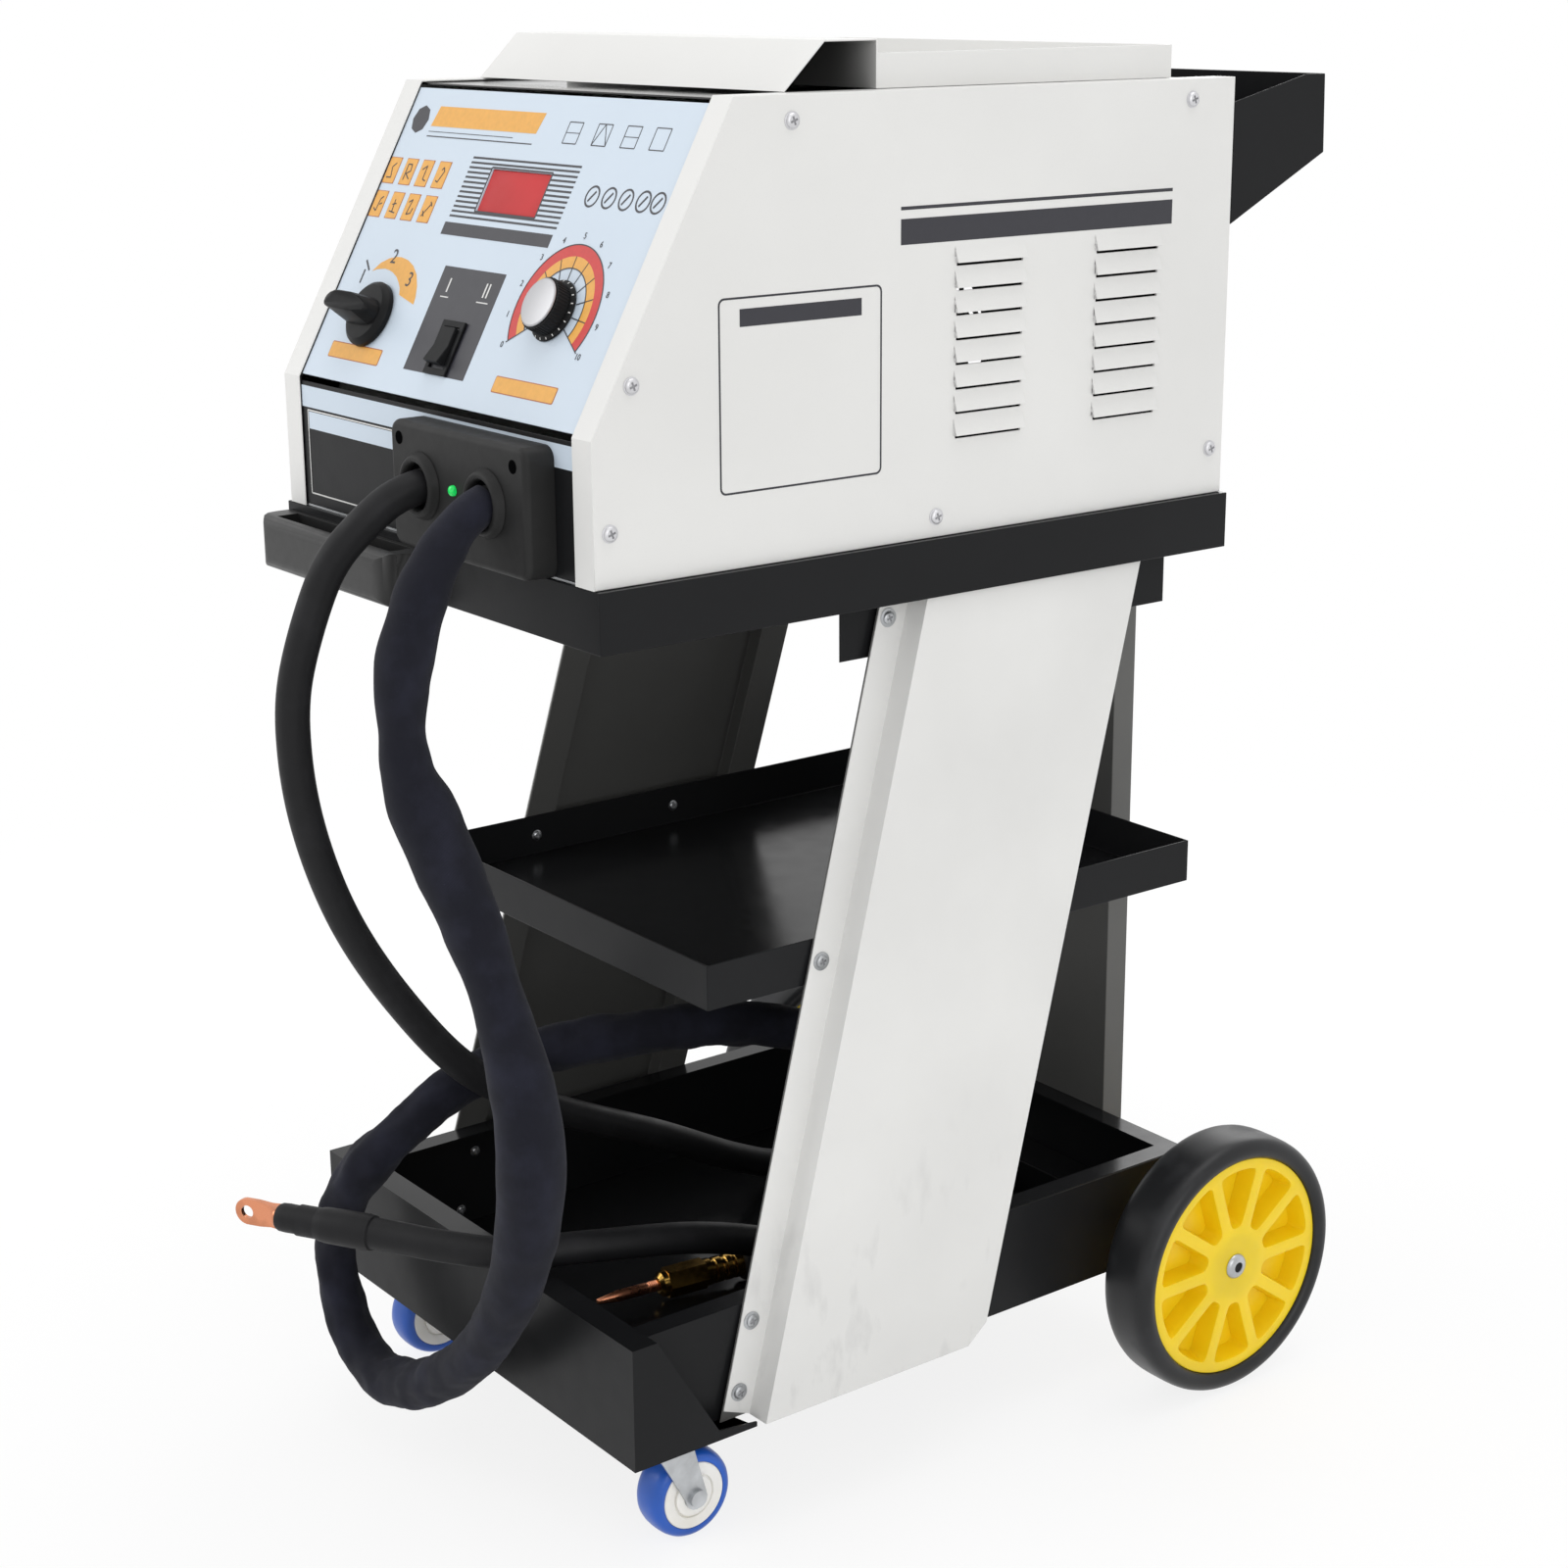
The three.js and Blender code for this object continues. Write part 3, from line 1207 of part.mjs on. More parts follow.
function buildControls() {
  const group = new THREE.Group();
  group.position.set(0, CASE_FRONT, BEND_HEIGHT);
  group.rotation.x = SLOPE_ANGLE;
  addMesh(group, "control_panel", controlPanel(), FINISHES.panelBlue);
  addMesh(group, "display_window", displayWindow(), FINISHES.redLens);

  const selector = new THREE.Group();
  selector.position.set(SELECTOR_X, SELECTOR_UP, 0);
  addMesh(selector, "selector_knob", selectorKnob(), FINISHES.blackPlastic);
  const switchBody = placedBlock(
    0, 0, centred(SELECTOR_BODY, SELECTOR_BODY), SWITCH_FRONT - SELECTOR_BODY_DEPTH, SWITCH_FRONT,
  );
  addMesh(selector, "selector_switch", boredBody(switchBody), FINISHES.greyPlastic);
  group.add(selector);

  const timer = new THREE.Group();
  timer.position.set(TIMER_X, TIMER_UP, 0);
  addMesh(timer, "timer_knob", timerKnob(), FINISHES.blackPlastic);
  addMesh(timer, "timer_cap", timerCap(), FINISHES.zinc);
  const pot = disc(
    TIMER_BODY_RADIUS, SWITCH_FRONT - TIMER_BODY_DEPTH, SWITCH_FRONT, MEDIUM_SIDES, "z",
  );
  addMesh(timer, "timer_pot", boredBody(pot), FINISHES.zinc);
  group.add(timer);

  const switchGroup = new THREE.Group();
  switchGroup.position.set(ROCKER_X, ROCKER_UP, 0);
  addMesh(switchGroup, "rocker_housing", rockerHousing(), FINISHES.blackPlastic);
  const paddle = addMesh(switchGroup, "rocker", rocker(), FINISHES.blackPlastic);
  paddle.position.z = PANEL_FRONT;
  paddle.rotation.x = -Math.atan(ROCKER_SWING_SHARE);
  group.add(switchGroup);
  return group;
}

// Inside the case

function transformerCore() {
  const windowHalf = CORE_WIDTH / 2 - CORE_LEG;
  const window = [CORE_LEG, windowHalf];
  const top = CORE_HEIGHT - CORE_LEG;
  const halfLength = CORE_LENGTH / 2;
  const [from, to] = window;
  const run = halfLength + OVERRUN;
  return cut(
    block(-CORE_WIDTH / 2, CORE_WIDTH / 2, -halfLength, halfLength, 0, CORE_HEIGHT),
    block(from, to, -run, run, CORE_LEG, top),
    block(-to, -from, -run, run, CORE_LEG, top),
  );
}

function transformerCoil() {
  const inner = CORE_LEG + SEAT;
  const innerLength = CORE_LENGTH / 2 + SEAT;
  const from = CORE_LEG + SEAT;
  const to = CORE_HEIGHT - CORE_LEG - SEAT;
  const outer = inner + COIL_WALL;
  const outerLength = innerLength + COIL_WALL;
  const corner = COIL_WALL / 2;
  const outline = roundedRectangle(
    -outer, outer, -outerLength, outerLength, [corner, corner, corner, corner],
  );
  return cut(
    prismZ(outline, from, to),
    block(-inner, inner, -innerLength, innerLength, from - OVERRUN, to + OVERRUN),
  );
}

// The fan's own frame has Y along its shaft, from the back panel forwards at -FAN_DEPTH.
const FAN_BORE = FAN_SIZE / 2 - FAN_WALL;

function fanFrame() {
  const half = FAN_SIZE / 2;
  const armFrom = -FAN_DEPTH;
  const armTo = armFrom + FAN_ARM_DEPTH;
  const halfArm = FAN_ARM / 2;
  const hub = FAN_HUB / 2 + FAN_SHAFT;
  const shell = cut(
    block(-half, half, -FAN_DEPTH, 0, -half, half),
    disc(FAN_BORE, -FAN_DEPTH - OVERRUN, OVERRUN, MEDIUM_SIDES, "y"),
  );
  const body = join(
    shell,
    block(-FAN_BORE - FAN_WALL / 2, FAN_BORE + FAN_WALL / 2, armFrom, armTo, -halfArm, halfArm),
    block(-halfArm, halfArm, armFrom, armTo, -FAN_BORE - FAN_WALL / 2, FAN_BORE + FAN_WALL / 2),
    disc(hub, armFrom, armTo, COARSE_SIDES, "y"),
  );
  return cut(
    body,
    disc(FAN_SHAFT + RUNNING_GAP, armFrom - OVERRUN, armTo + OVERRUN, COARSE_SIDES, "y"),
  );
}

function fanBlades() {
  const from = -FAN_DEPTH + FAN_ARM_DEPTH + SEAT;
  const to = -FAN_WALL;
  const middle = (from + to) / 2;
  const reach = FAN_BORE - FAN_WALL;
  const depth = to - from;
  const tilt = Math.atan(FAN_BLADE_TILT_SHARE);
  const blades = Array.from({ length: FAN_BLADE_COUNT }, (_, i) => {
    const chord = depth * Math.cos(tilt);
    const blade = new THREE.BoxGeometry(FAN_BLADE_SHEET, chord, reach - FAN_HUB / 2);
    blade.rotateZ(tilt).translate(0, middle, (reach + FAN_HUB / 2) / 2);
    return solidOf(blade.rotateY((2 * Math.PI * i) / FAN_BLADE_COUNT));
  });
  return join(
    disc(FAN_HUB, from, to, MEDIUM_SIDES, "y"),
    disc(FAN_SHAFT, -FAN_DEPTH, middle, COARSE_SIDES, "y"),
    ...blades,
  );
}

function controlBoard() {
  const halfWidth = BOARD_WIDTH / 2;
  const halfLength = BOARD_LENGTH / 2;
  const boardTop = BOARD_POST + BOARD_SHEET;
  const inX = halfWidth - 2 * BOARD_POST_RADIUS;
  const inY = halfLength - 2 * BOARD_POST_RADIUS;
  const posts = [[-inX, -inY], [inX, -inY], [inX, inY], [-inX, inY]].map(([x, y]) =>
    disc(BOARD_POST_RADIUS, 0, BOARD_POST + BOARD_SHEET / 2, COARSE_SIDES, "z", [x, y, 0]),
  );
  const capacitors = [-1, 1].map((sign) =>
    disc(
      CAPACITOR_RADIUS, boardTop - BOARD_SHEET / 2, boardTop + CAPACITOR_HEIGHT, COARSE_SIDES, "z",
      [sign * 1.5 * CAPACITOR_RADIUS, 0, 0],
    ),
  );
  return join(
    block(-halfWidth, halfWidth, -halfLength, halfLength, BOARD_POST, boardTop),
    ...posts,
    ...capacitors,
  );
}

function buildInside() {
  const group = new THREE.Group();
  const floor = PAN_TOP + SEAT;
  const transformer = new THREE.Group();
  transformer.position.set(0, CASE_FRONT + CORE_SETBACK, floor);
  addMesh(transformer, "transformer_core", transformerCore(), FINISHES.laminate);
  addMesh(transformer, "transformer_coil", transformerCoil(), FINISHES.winding);
  group.add(transformer);

  const fan = new THREE.Group();
  fan.position.set(FAN_X, PLATE_REAR - SEAT, CASE_BOTTOM + FAN_UP);
  addMesh(fan, "fan_frame", fanFrame(), FINISHES.blackPlastic);
  addMesh(fan, "fan_blades", fanBlades(), FINISHES.blackPlastic);
  group.add(fan);

  const board = addMesh(group, "control_board", controlBoard(), FINISHES.board);
  board.position.set(BOARD_X, PLATE_FRONT + BOARD_SETBACK + BOARD_LENGTH / 2, floor);
  return group;
}

// Cables

const LEAD_END = OUTLET_FRONT - SEAT - 2 * GLAND_PROUD;

function cableCurve(startX, route) {
  const straight = [OVERRUN, 0, -GLAND_PROUD / 2].map((step) => [startX, LEAD_END + step, GLAND_Z]);
  const points = [...straight, ...route].map((point) => new THREE.Vector3(...point));
  return new THREE.CatmullRomCurve3(points);
}

// A straight lead out of the gland, then the bent run.
function cable(startX, curve, radius, steps) {
  const section = Array.from({ length: CABLE_SIDES }, (_, i) => {
    const angle = (2 * Math.PI * i) / CABLE_SIDES;
    return new THREE.Vector2(radius * Math.cos(angle), radius * Math.sin(angle));
  });
  const options = { steps, extrudePath: curve, bevelEnabled: false };
  const run = solidOf(new THREE.ExtrudeGeometry(new THREE.Shape(section), options));
  const start = OUTLET_FRONT - SEAT;
  return join(disc(radius, LEAD_END, start, CABLE_SIDES, "y", [startX, 0, GLAND_Z]), run);
}

// A group at a cable's far end, with Z running on along the cable and Y upwards.
function atEnd(curve) {
  const group = new THREE.Group();
  const along = curve.getTangentAt(1);
  const across = new THREE.Vector3(0, 0, 1).cross(along).normalize();
  const upwards = along.clone().cross(across);
  group.quaternion.setFromRotationMatrix(new THREE.Matrix4().makeBasis(across, upwards, along));
  group.position.copy(curve.getPointAt(1)).addScaledVector(along, SEAT);
  return group;
}

function earthLug() {
  const half = LUG_WIDTH / 2;
  const sheet = LUG_THICKNESS / 2;
  const eye = LUG_BARREL + LUG_LENGTH - half;
  const tongue = join(
    block(-sheet, sheet, -half, half, LUG_BARREL - OVERRUN, eye),
    disc(half, -sheet, sheet, COARSE_SIDES, "x", [0, 0, eye]),
  );
  return cut(
    join(disc(LUG_BARREL_RADIUS, 0, LUG_BARREL, COARSE_SIDES, "z"), tongue),
    disc(LUG_HOLE, -sheet - OVERRUN, sheet + OVERRUN, COARSE_SIDES, "x", [0, 0, eye]),
  );
}

function torchNut() {
  const neck = (NUT_RADIUS + COLLAR_RADIUS) / 2;
  return join(
    disc(COLLAR_RADIUS, 0, COLLAR_LENGTH + OVERRUN, COARSE_SIDES, "z"),
    disc(neck, COLLAR_LENGTH / 4, COLLAR_LENGTH / 2, COARSE_SIDES, "z"),
    disc(NUT_RADIUS, COLLAR_LENGTH, COLLAR_LENGTH + NUT_LENGTH, 6, "z"),
  );
}

function torchTip() {
  const shank = TIP_LENGTH - TIP_TAPER;
  return turned(
    [[0, 0], [TIP_RADIUS, 0], [TIP_RADIUS, shank], [TIP_POINT, TIP_LENGTH], [0, TIP_LENGTH]],
    COARSE_SIDES, "z",
  );
}

function buildCables() {
  const group = new THREE.Group();
  const earth = cableCurve(EARTH_X, EARTH_ROUTE);
  const torch = cableCurve(TORCH_X, TORCH_ROUTE);
  const earthCable = cable(EARTH_X, earth, EARTH_RADIUS, EARTH_STEPS);
  const torchCable = cable(TORCH_X, torch, TORCH_RADIUS, TORCH_STEPS);
  addMesh(group, "earth_cable", earthCable, FINISHES.rubber);
  addMesh(group, "torch_cable", torchCable, FINISHES.sleeve);

  const lug = atEnd(earth);
  addMesh(lug, "earth_lug", earthLug(), FINISHES.copper);
  const tool = atEnd(torch);
  const nutFrom = GRIP_LENGTH + SEAT;
  const tipFrom = nutFrom + COLLAR_LENGTH + NUT_LENGTH + SEAT;
  const grip = disc(GRIP_RADIUS, 0, GRIP_LENGTH, COARSE_SIDES, "z");
  addMesh(tool, "torch_grip", grip, FINISHES.blackPlastic);
  addMesh(tool, "torch_nut", torchNut(), FINISHES.brass).position.z = nutFrom;
  addMesh(tool, "torch_tip", torchTip(), FINISHES.copper).position.z = tipFrom;
  group.add(lug, tool);
  return group;
}

const welder = new THREE.Group();
welder.name = "dent_pulling_spot_welder";
welder.position.y = -CENTRE_Y;
welder.add(
  buildTrolley(),
  buildRearWheels(),
  buildCasters(),
  buildCase(),
  buildControls(),
  buildInside(),
  buildCables(),
);

export default welder;
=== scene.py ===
"""Looks for a dent pulling spot welder on its trolley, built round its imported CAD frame."""

import json
import math
from functools import cache, partial
from itertools import product

import bmesh
import bpy
from mathutils import Matrix, Vector, noise

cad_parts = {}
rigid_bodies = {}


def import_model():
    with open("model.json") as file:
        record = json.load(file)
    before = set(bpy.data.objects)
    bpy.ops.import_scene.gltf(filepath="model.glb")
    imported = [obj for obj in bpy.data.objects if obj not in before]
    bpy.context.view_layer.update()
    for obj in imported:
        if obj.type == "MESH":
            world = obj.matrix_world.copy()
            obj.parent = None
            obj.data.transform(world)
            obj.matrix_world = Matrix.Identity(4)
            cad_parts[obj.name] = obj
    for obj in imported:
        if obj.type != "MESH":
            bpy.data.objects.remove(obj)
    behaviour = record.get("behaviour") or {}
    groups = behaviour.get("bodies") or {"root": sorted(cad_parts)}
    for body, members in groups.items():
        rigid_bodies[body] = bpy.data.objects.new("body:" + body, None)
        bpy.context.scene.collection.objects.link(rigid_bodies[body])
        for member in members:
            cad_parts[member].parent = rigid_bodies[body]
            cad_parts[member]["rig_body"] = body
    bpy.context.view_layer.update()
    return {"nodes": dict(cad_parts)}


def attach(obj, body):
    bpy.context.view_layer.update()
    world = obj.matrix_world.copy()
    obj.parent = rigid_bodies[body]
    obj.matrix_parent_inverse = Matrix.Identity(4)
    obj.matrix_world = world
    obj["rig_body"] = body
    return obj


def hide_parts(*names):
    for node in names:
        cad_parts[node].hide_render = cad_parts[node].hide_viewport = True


bl_info = {
    "name": "Dent Pulling Spot Welder",
    "version": (1, 0, 0),
    "blender": (4, 5, 0),
    "location": "View3D > Sidebar > Welder",
    "description": "Builds the finished surfaces of a spot welder on its trolley",
    "category": "Object",
}

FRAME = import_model()
NODES = FRAME["nodes"]

MM = 0.001
CENTRE_Y = 85.65  # the middle of the object's length, in the case's own millimetres
TROLLEY = "trolley"
SIDES = (("left", -1), ("right", 1))

CASE_HALF = 197.0
CASE_REAR = 325.0
CASE_FRONT = -217.0
LOWER_SHEET_FACE = -215.2
BEND_Z = 778.0
SLOPE = math.atan2(199.0, 109.0)
PANEL_N = -1.8  # the control panel's face, behind the outside of the slope
KNOB_BASE = PANEL_N + 0.4
SELECTOR_XY = (-113, 53)
TIMER_XY = (101, 77)
OUTLET_FACE = -237.0
GLAND_Z = 730.2
LAMP_Z = 732.7
EARTH_X = 27.0
TORCH_X = 107.0
AXLE_Y = 305.0
AXLE_Z = 102
WHEEL_X = 244.5
CASTER_X = 171.0
CASTER_Y = -146.0
CASTER_Z = 33
KINGPIN_Y = -167.0
SAME_POINT = 0.0001  # points of a form in millimetres that lie closer than this are one
WHITE = (1, 1, 1, 1)


def at(x, y, z):
    """A place in the case's own millimetres, as a point in the row frame in metres."""
    return Vector((x, y - CENTRE_Y, z)) * MM


def placed(x, y, z, turn=None):
    """A matrix that scales millimetres to metres, turns them and puts them at a place."""
    turned = turn.to_4x4() if turn is not None else Matrix.Identity(4)
    return Matrix.Translation(at(x, y, z)) @ turned @ Matrix.Scale(MM, 4)


def quarter(sign, axis):
    """A quarter turn about an axis."""
    return Matrix.Rotation(sign * math.pi / 2, 3, axis)


# a lathe's own Z laid along -Y, out of the front
FORWARDS = quarter(1, "X")
# X across the panel, Y up the slope from its lower bend, Z out of it
PANEL = placed(0, CASE_FRONT, BEND_Z, Matrix.Rotation(SLOPE, 3, "X"))


def length(name, description, default, **more):
    """A length property in metres."""
    return bpy.props.FloatProperty(
        name=name, description=description, default=default, unit="LENGTH", **more
    )


class WELDER_PG_sizes(bpy.types.PropertyGroup):
    """Sizes of the details that the CAD frame doesn't fix."""

    fold: length("Fold radius", "Rounding on the folds of the sheet metal", 0.0009)
    rim: length("Moulding radius", "Rounding on the edges of the black mouldings", 0.0016)
    turning_steps: bpy.props.IntProperty(
        name="Turning steps", description="Faces round a turned piece", default=96, min=24,
    )
    earth_diameter: length("Earth cable", "Outside diameter of the earth cable", 0.023)
    torch_diameter: length("Torch cable", "Mean diameter of the torch cable's sleeve", 0.033)
    sleeve_slack: length("Sleeve slack", "How deep the folds of the sewn sleeve are", 0.0034)
    print_height: length(
        "Print height", "How proud the printed film stands", 0.00012, precision=5
    )


def colour(name, red, green, blue):
    """A colour property, as a display shows it."""
    return bpy.props.FloatVectorProperty(
        name=name, description=name + " as seen in plain light", subtype="COLOR_GAMMA",
        size=3, min=0, max=1, default=(red, green, blue),
    )


class WELDER_PG_colours(bpy.types.PropertyGroup):
    """Colours of the paints, plastics, prints and metals."""

    white_paint: colour("White powder coat", 0.893, 0.892, 0.884)
    black_paint: colour("Black powder coat", 0.118, 0.12, 0.126)
    top_paint: colour("Gloss black top", 0.06, 0.06, 0.065)
    grey_paint: colour("Dark grey leg paint", 0.36, 0.36, 0.352)
    foil: colour("Panel foil", 0.8, 0.85, 0.9)
    orange: colour("Orange print", 0.93, 0.68, 0.29)
    rust: colour("Rust print", 0.72, 0.42, 0.24)
    red: colour("Red print", 0.82, 0.2, 0.19)
    ink: colour("Dark print", 0.17, 0.17, 0.2)
    moulding: colour("Black moulding", 0.128, 0.128, 0.128)
    handle: colour("Handle moulding", 0.12, 0.12, 0.12)
    knob: colour("Knob black", 0.08, 0.082, 0.086)
    lens: colour("Red display lens", 0.8, 0.21, 0.22)
    lamp: colour("Green lamp", 0.08, 0.82, 0.36)
    yellow: colour("Yellow wheel hub", 0.965, 0.83, 0.045)
    tyre: colour("Tyre rubber", 0.122, 0.124, 0.131)
    blue: colour("Blue caster tread", 0.09, 0.31, 0.66)
    core: colour("Caster core", 0.93, 0.915, 0.87)
    rubber: colour("Cable rubber", 0.1, 0.1, 0.107)
    sleeve: colour("Cable sleeve", 0.105, 0.108, 0.142)
    zinc: colour("Zinc plate", 0.78, 0.79, 0.8)
    copper: colour("Copper", 0.87, 0.58, 0.44)
    brass: colour("Brass", 0.83, 0.66, 0.34)
    bright: colour("Bright aluminium", 0.83, 0.83, 0.84)
    # painted shade seen through the crosses of the screw heads
    recess: colour("Painted shade under screw crosses", 0.5, 0.5, 0.51)
    # painted shade in the outlet block's screw holes and gland hollows
    pit: colour("Painted shade of holes", 0.03, 0.03, 0.033)


def sizes():
    return bpy.context.scene.welder_sizes


def linear(*shade):
    """A displayed colour as the linear light that a shader wants."""
    parts = [c / 12.92 if c <= 0.04045 else ((c + 0.055) / 1.055) ** 2.4 for c in shade]
    return (*parts, 1.0)


def tint(name, gain=1.0):
    """One of the scene's colours, brighter or darker by a gain."""
    shade = getattr(bpy.context.scene.welder_colours, name)
    return linear(*[min(1.0, c * gain) for c in shade])


# Shader maths


class Value:
    """A number that varies over a surface. Python's own operators work on it."""

    def __init__(self, nodes, socket):
        self.nodes = nodes
        self.socket = socket

    def math(self, operation, *terms):
        inputs = dict(enumerate(terms))
        made = self.nodes.node("ShaderNodeMath", {"operation": operation}, inputs)
        return Value(self.nodes, made.outputs[0])

    def __add__(self, other):
        return self.math("ADD", self, other)

    def __radd__(self, other):
        return self.math("ADD", other, self)

    def __sub__(self, other):
        return self.math("SUBTRACT", self, other)

    def __rsub__(self, other):
        return self.math("SUBTRACT", other, self)

    def __mul__(self, other):
        return self.math("MULTIPLY", self, other)

    def __rmul__(self, other):
        return self.math("MULTIPLY", other, self)


class Nodes:
    """A node tree, with one way to add a node and one to fill a socket."""

    def __init__(self, tree):
        self.tree = tree

    def node(self, kind, settings=None, inputs=None):
        made = self.tree.nodes.new(kind)
        for key, value in (settings or {}).items():
            setattr(made, key, value)
        for key, value in (inputs or {}).items():
            self.feed(made.inputs[key], value)
        return made

    def feed(self, socket, value):
        if isinstance(value, Value):
            value = value.socket
        if isinstance(value, bpy.types.NodeSocket):
            self.tree.links.new(value, socket)
        else:
            socket.default_value = value

    def seen(self):
        """1 where the camera or a reflection looks, 0 for the light that falls elsewhere."""
        rays = self.node("ShaderNodeLightPath").outputs
        camera = Value(self, rays["Is Camera Ray"])
        return camera.math("MAXIMUM", camera, Value(self, rays["Is Glossy Ray"]))

    def blend(self, amount, first, second, output):
        """Mixes two shaders into an output node."""
        inputs = {0: amount, 1: first, 2: second}
        mixed = self.node("ShaderNodeMixShader", None, inputs)
        self.feed(self.tree.nodes[output].inputs[0], mixed.outputs[0])


class Surface(Nodes):
    """A material that is put together from patterns."""

    def __init__(self, name, base, roughness, metallic=0.0, **fixed):
        self.material = bpy.data.materials.new(name)
        self.material.use_nodes = True
        super().__init__(self.material.node_tree)
        self.shader = self.tree.nodes["Principled BSDF"]
        self.set("Base Color", base)
        self.set("Roughness", roughness)
        self.set("Metallic", metallic)
        for key, value in fixed.items():
            self.set(key.replace("_", " "), value)
        place = self.node("ShaderNodeTexCoord")
        self.point = place.outputs["Object"]
        self.uv = place.outputs["UV"]

    def set(self, name, value):
        self.feed(self.shader.inputs[name], value)

    def stretched(self, scale):
        inputs = {"Vector": self.point, "Scale": scale}
        return self.node("ShaderNodeMapping", None, inputs).outputs[0]

    def noise(self, scale, detail, source=None):
        inputs = {"Vector": source or self.point, "Scale": scale, "Detail": detail}
        return Value(self, self.node("ShaderNodeTexNoise", None, inputs).outputs[0])

    def wave(self, scale, source, **settings):
        inputs = {"Vector": source, "Scale": scale}
        return Value(self, self.node("ShaderNodeTexWave", settings, inputs).outputs["Fac"])

    def along(self, axis):
        made = self.node("ShaderNodeSeparateXYZ", None, {0: self.point})
        return Value(self, made.outputs[axis])

    def ramp(self, value, low, high):
        inputs = {"Value": value, "From Min": low, "From Max": high}
        made = self.node("ShaderNodeMapRange", {"clamp": True}, inputs)
        return Value(self, made.outputs[0])

    def patches(self, scale, detail, low, high):
        return self.ramp(self.noise(scale, detail), low, high)

    def mix(self, first, second, amount):
        inputs = {0: amount, 6: first, 7: second}
        return self.node("ShaderNodeMix", {"data_type": "RGBA"}, inputs).outputs[2]

    def shaded(self, shade, gain, amount):
        """Base colour from one of the scene's colours to a brighter or darker tone of it."""
        self.set("Base Color", self.mix(tint(shade), tint(shade, gain), amount))

    def gloss(self, low, swing, scale, detail):
        self.set("Roughness", low + self.noise(scale, detail) * swing)

    def relief(self, height, depth, strength):
        inputs = {"Height": height, "Distance": depth, "Strength": strength}
        self.set("Normal", self.node("ShaderNodeBump", None, inputs).outputs[0])

    def grain(self, scale, detail, depth, strength=0.5):
        self.relief(self.noise(scale, detail), depth, strength)


def powder_coat(name, shade, roughness, peel=0.00005, dust=0.08, **fixed):
    """Powder coat: faint clouds in the colour, orange peel, and a little dust."""
    surface = Surface(name, tint(shade), roughness, **fixed)
    clouds = surface.patches(4.0, 4.0, 0.35, 0.7)
    specks = surface.patches(1500.0, 2.0, 0.66, 0.74)
    worn = surface.mix(tint(shade), tint(shade, 1.0 - dust), clouds)
    surface.set("Base Color", surface.mix(worn, tint(shade, 1.0 - 2.2 * dust), specks * 0.5))
    surface.gloss(roughness - 0.08, 0.16, 60.0, 3.0)
    surface.grain(420.0, 1.0, peel, 0.6)
    return surface


def leg_paint():
    """White powder coat with grey rubbing marks low on the front flange."""
    base = tint("white_paint")
    surface = Surface("leg_white_powder_coat", base, 0.42)
    clouds = surface.patches(5.0, 4.0, 0.35, 0.7)
    worn = surface.mix(base, tint("white_paint", 0.96), clouds)
    low = surface.ramp(surface.along("Z"), 0.3, 0.1)
    streak = surface.stretched((22.0, 22.0, 9.0))
    rubbed = surface.ramp(surface.noise(2.2, 5.0, streak), 0.56, 0.74) * low
    surface.set("Base Color", surface.mix(worn, linear(0.6, 0.6, 0.6), rubbed * 0.35))
    surface.gloss(0.32, 0.16, 60.0, 3.0)
    surface.grain(420.0, 1.0, 0.00005, 0.6)
    return surface


def hood_shade():
    """White powder coat inside the hood with painted shade, darker away from its open ends."""
    surface = Surface("white_inside_hood", tint("white_paint"), 0.5)
    reach = surface.along("X")
    ends = surface.ramp(reach.math("ABSOLUTE", reach), 0.13, 0.184)
    amount = ends * ends + surface.noise(9.0, 3.0) * 0.1
    base = surface.mix(tint("white_paint", 0.37), tint("white_paint", 0.9), amount)
    surface.set("Base Color", base)
    surface.grain(420.0, 1.0, 0.00005, 0.6)
    return surface


def moulding(name, shade, roughness, grain=0.00008, **fixed):
    """Moulded plastic with a fine spark-eroded grain."""
    surface = Surface(name, tint(shade), roughness, **fixed)
    surface.shaded(shade, 1.25, surface.patches(14.0, 3.0, 0.3, 0.75))
    surface.gloss(roughness - 0.07, 0.14, 120.0, 2.0)
    surface.grain(1400.0, 2.0, grain)
    return surface


def metal(name, shade, roughness, stretch=(1.0, 1.0, 1.0), stain=0.82):
    """Plated or turned metal with faint tool marks and staining."""
    surface = Surface(name, tint(shade), roughness, 1.0)
    marks = surface.noise(300.0, 3.0, surface.stretched(stretch))
    surface.shaded(shade, stain, surface.patches(45.0, 4.0, 0.4, 0.75))
    surface.set("Roughness", roughness + (marks - 0.5) * 0.25)
    surface.relief(marks, 0.00003, 0.4)
    return surface


def spun_metal():
    """Bright metal of the timer's cap, with rings left by turning it."""
    surface = Surface("spun_cap", tint("bright", 0.84), 0.3, 1.0)
    centre = PANEL @ Matrix.Translation((*TIMER_XY, 0)) @ Vector((0, 0, 0))
    inputs = {"Vector": surface.point, "Location": centre, "Rotation": (SLOPE, 0, 0)}
    local = surface.node("ShaderNodeMapping", {"vector_type": "TEXTURE"}, inputs).outputs[0]
    marks = surface.wave(700.0, local, wave_type="RINGS", rings_direction="Z")
    surface.set("Roughness", 0.36 + marks * 0.14)
    surface.relief(marks, 0.00002, 0.5)
    return surface


def print_film(name, shade):
    """Screen print on foil."""
    surface = Surface(name, tint(shade), 0.38)
    surface.shaded(shade, 0.9, surface.noise(260.0, 3.0))
    surface.gloss(0.34, 0.12, 90.0, 2.0)
    return surface


def tyre_rubber():
    surface = Surface("tyre_rubber", tint("tyre"), 0.42, Specular_IOR_Level=0.3)
    scuffs = surface.patches(26.0, 6.0, 0.52, 0.78)
    surface.shaded("tyre", 1.9, scuffs * 0.5)
    surface.set("Roughness", 0.36 + scuffs * 0.3)
    surface.grain(700.0, 3.0, 0.00012)
    return surface


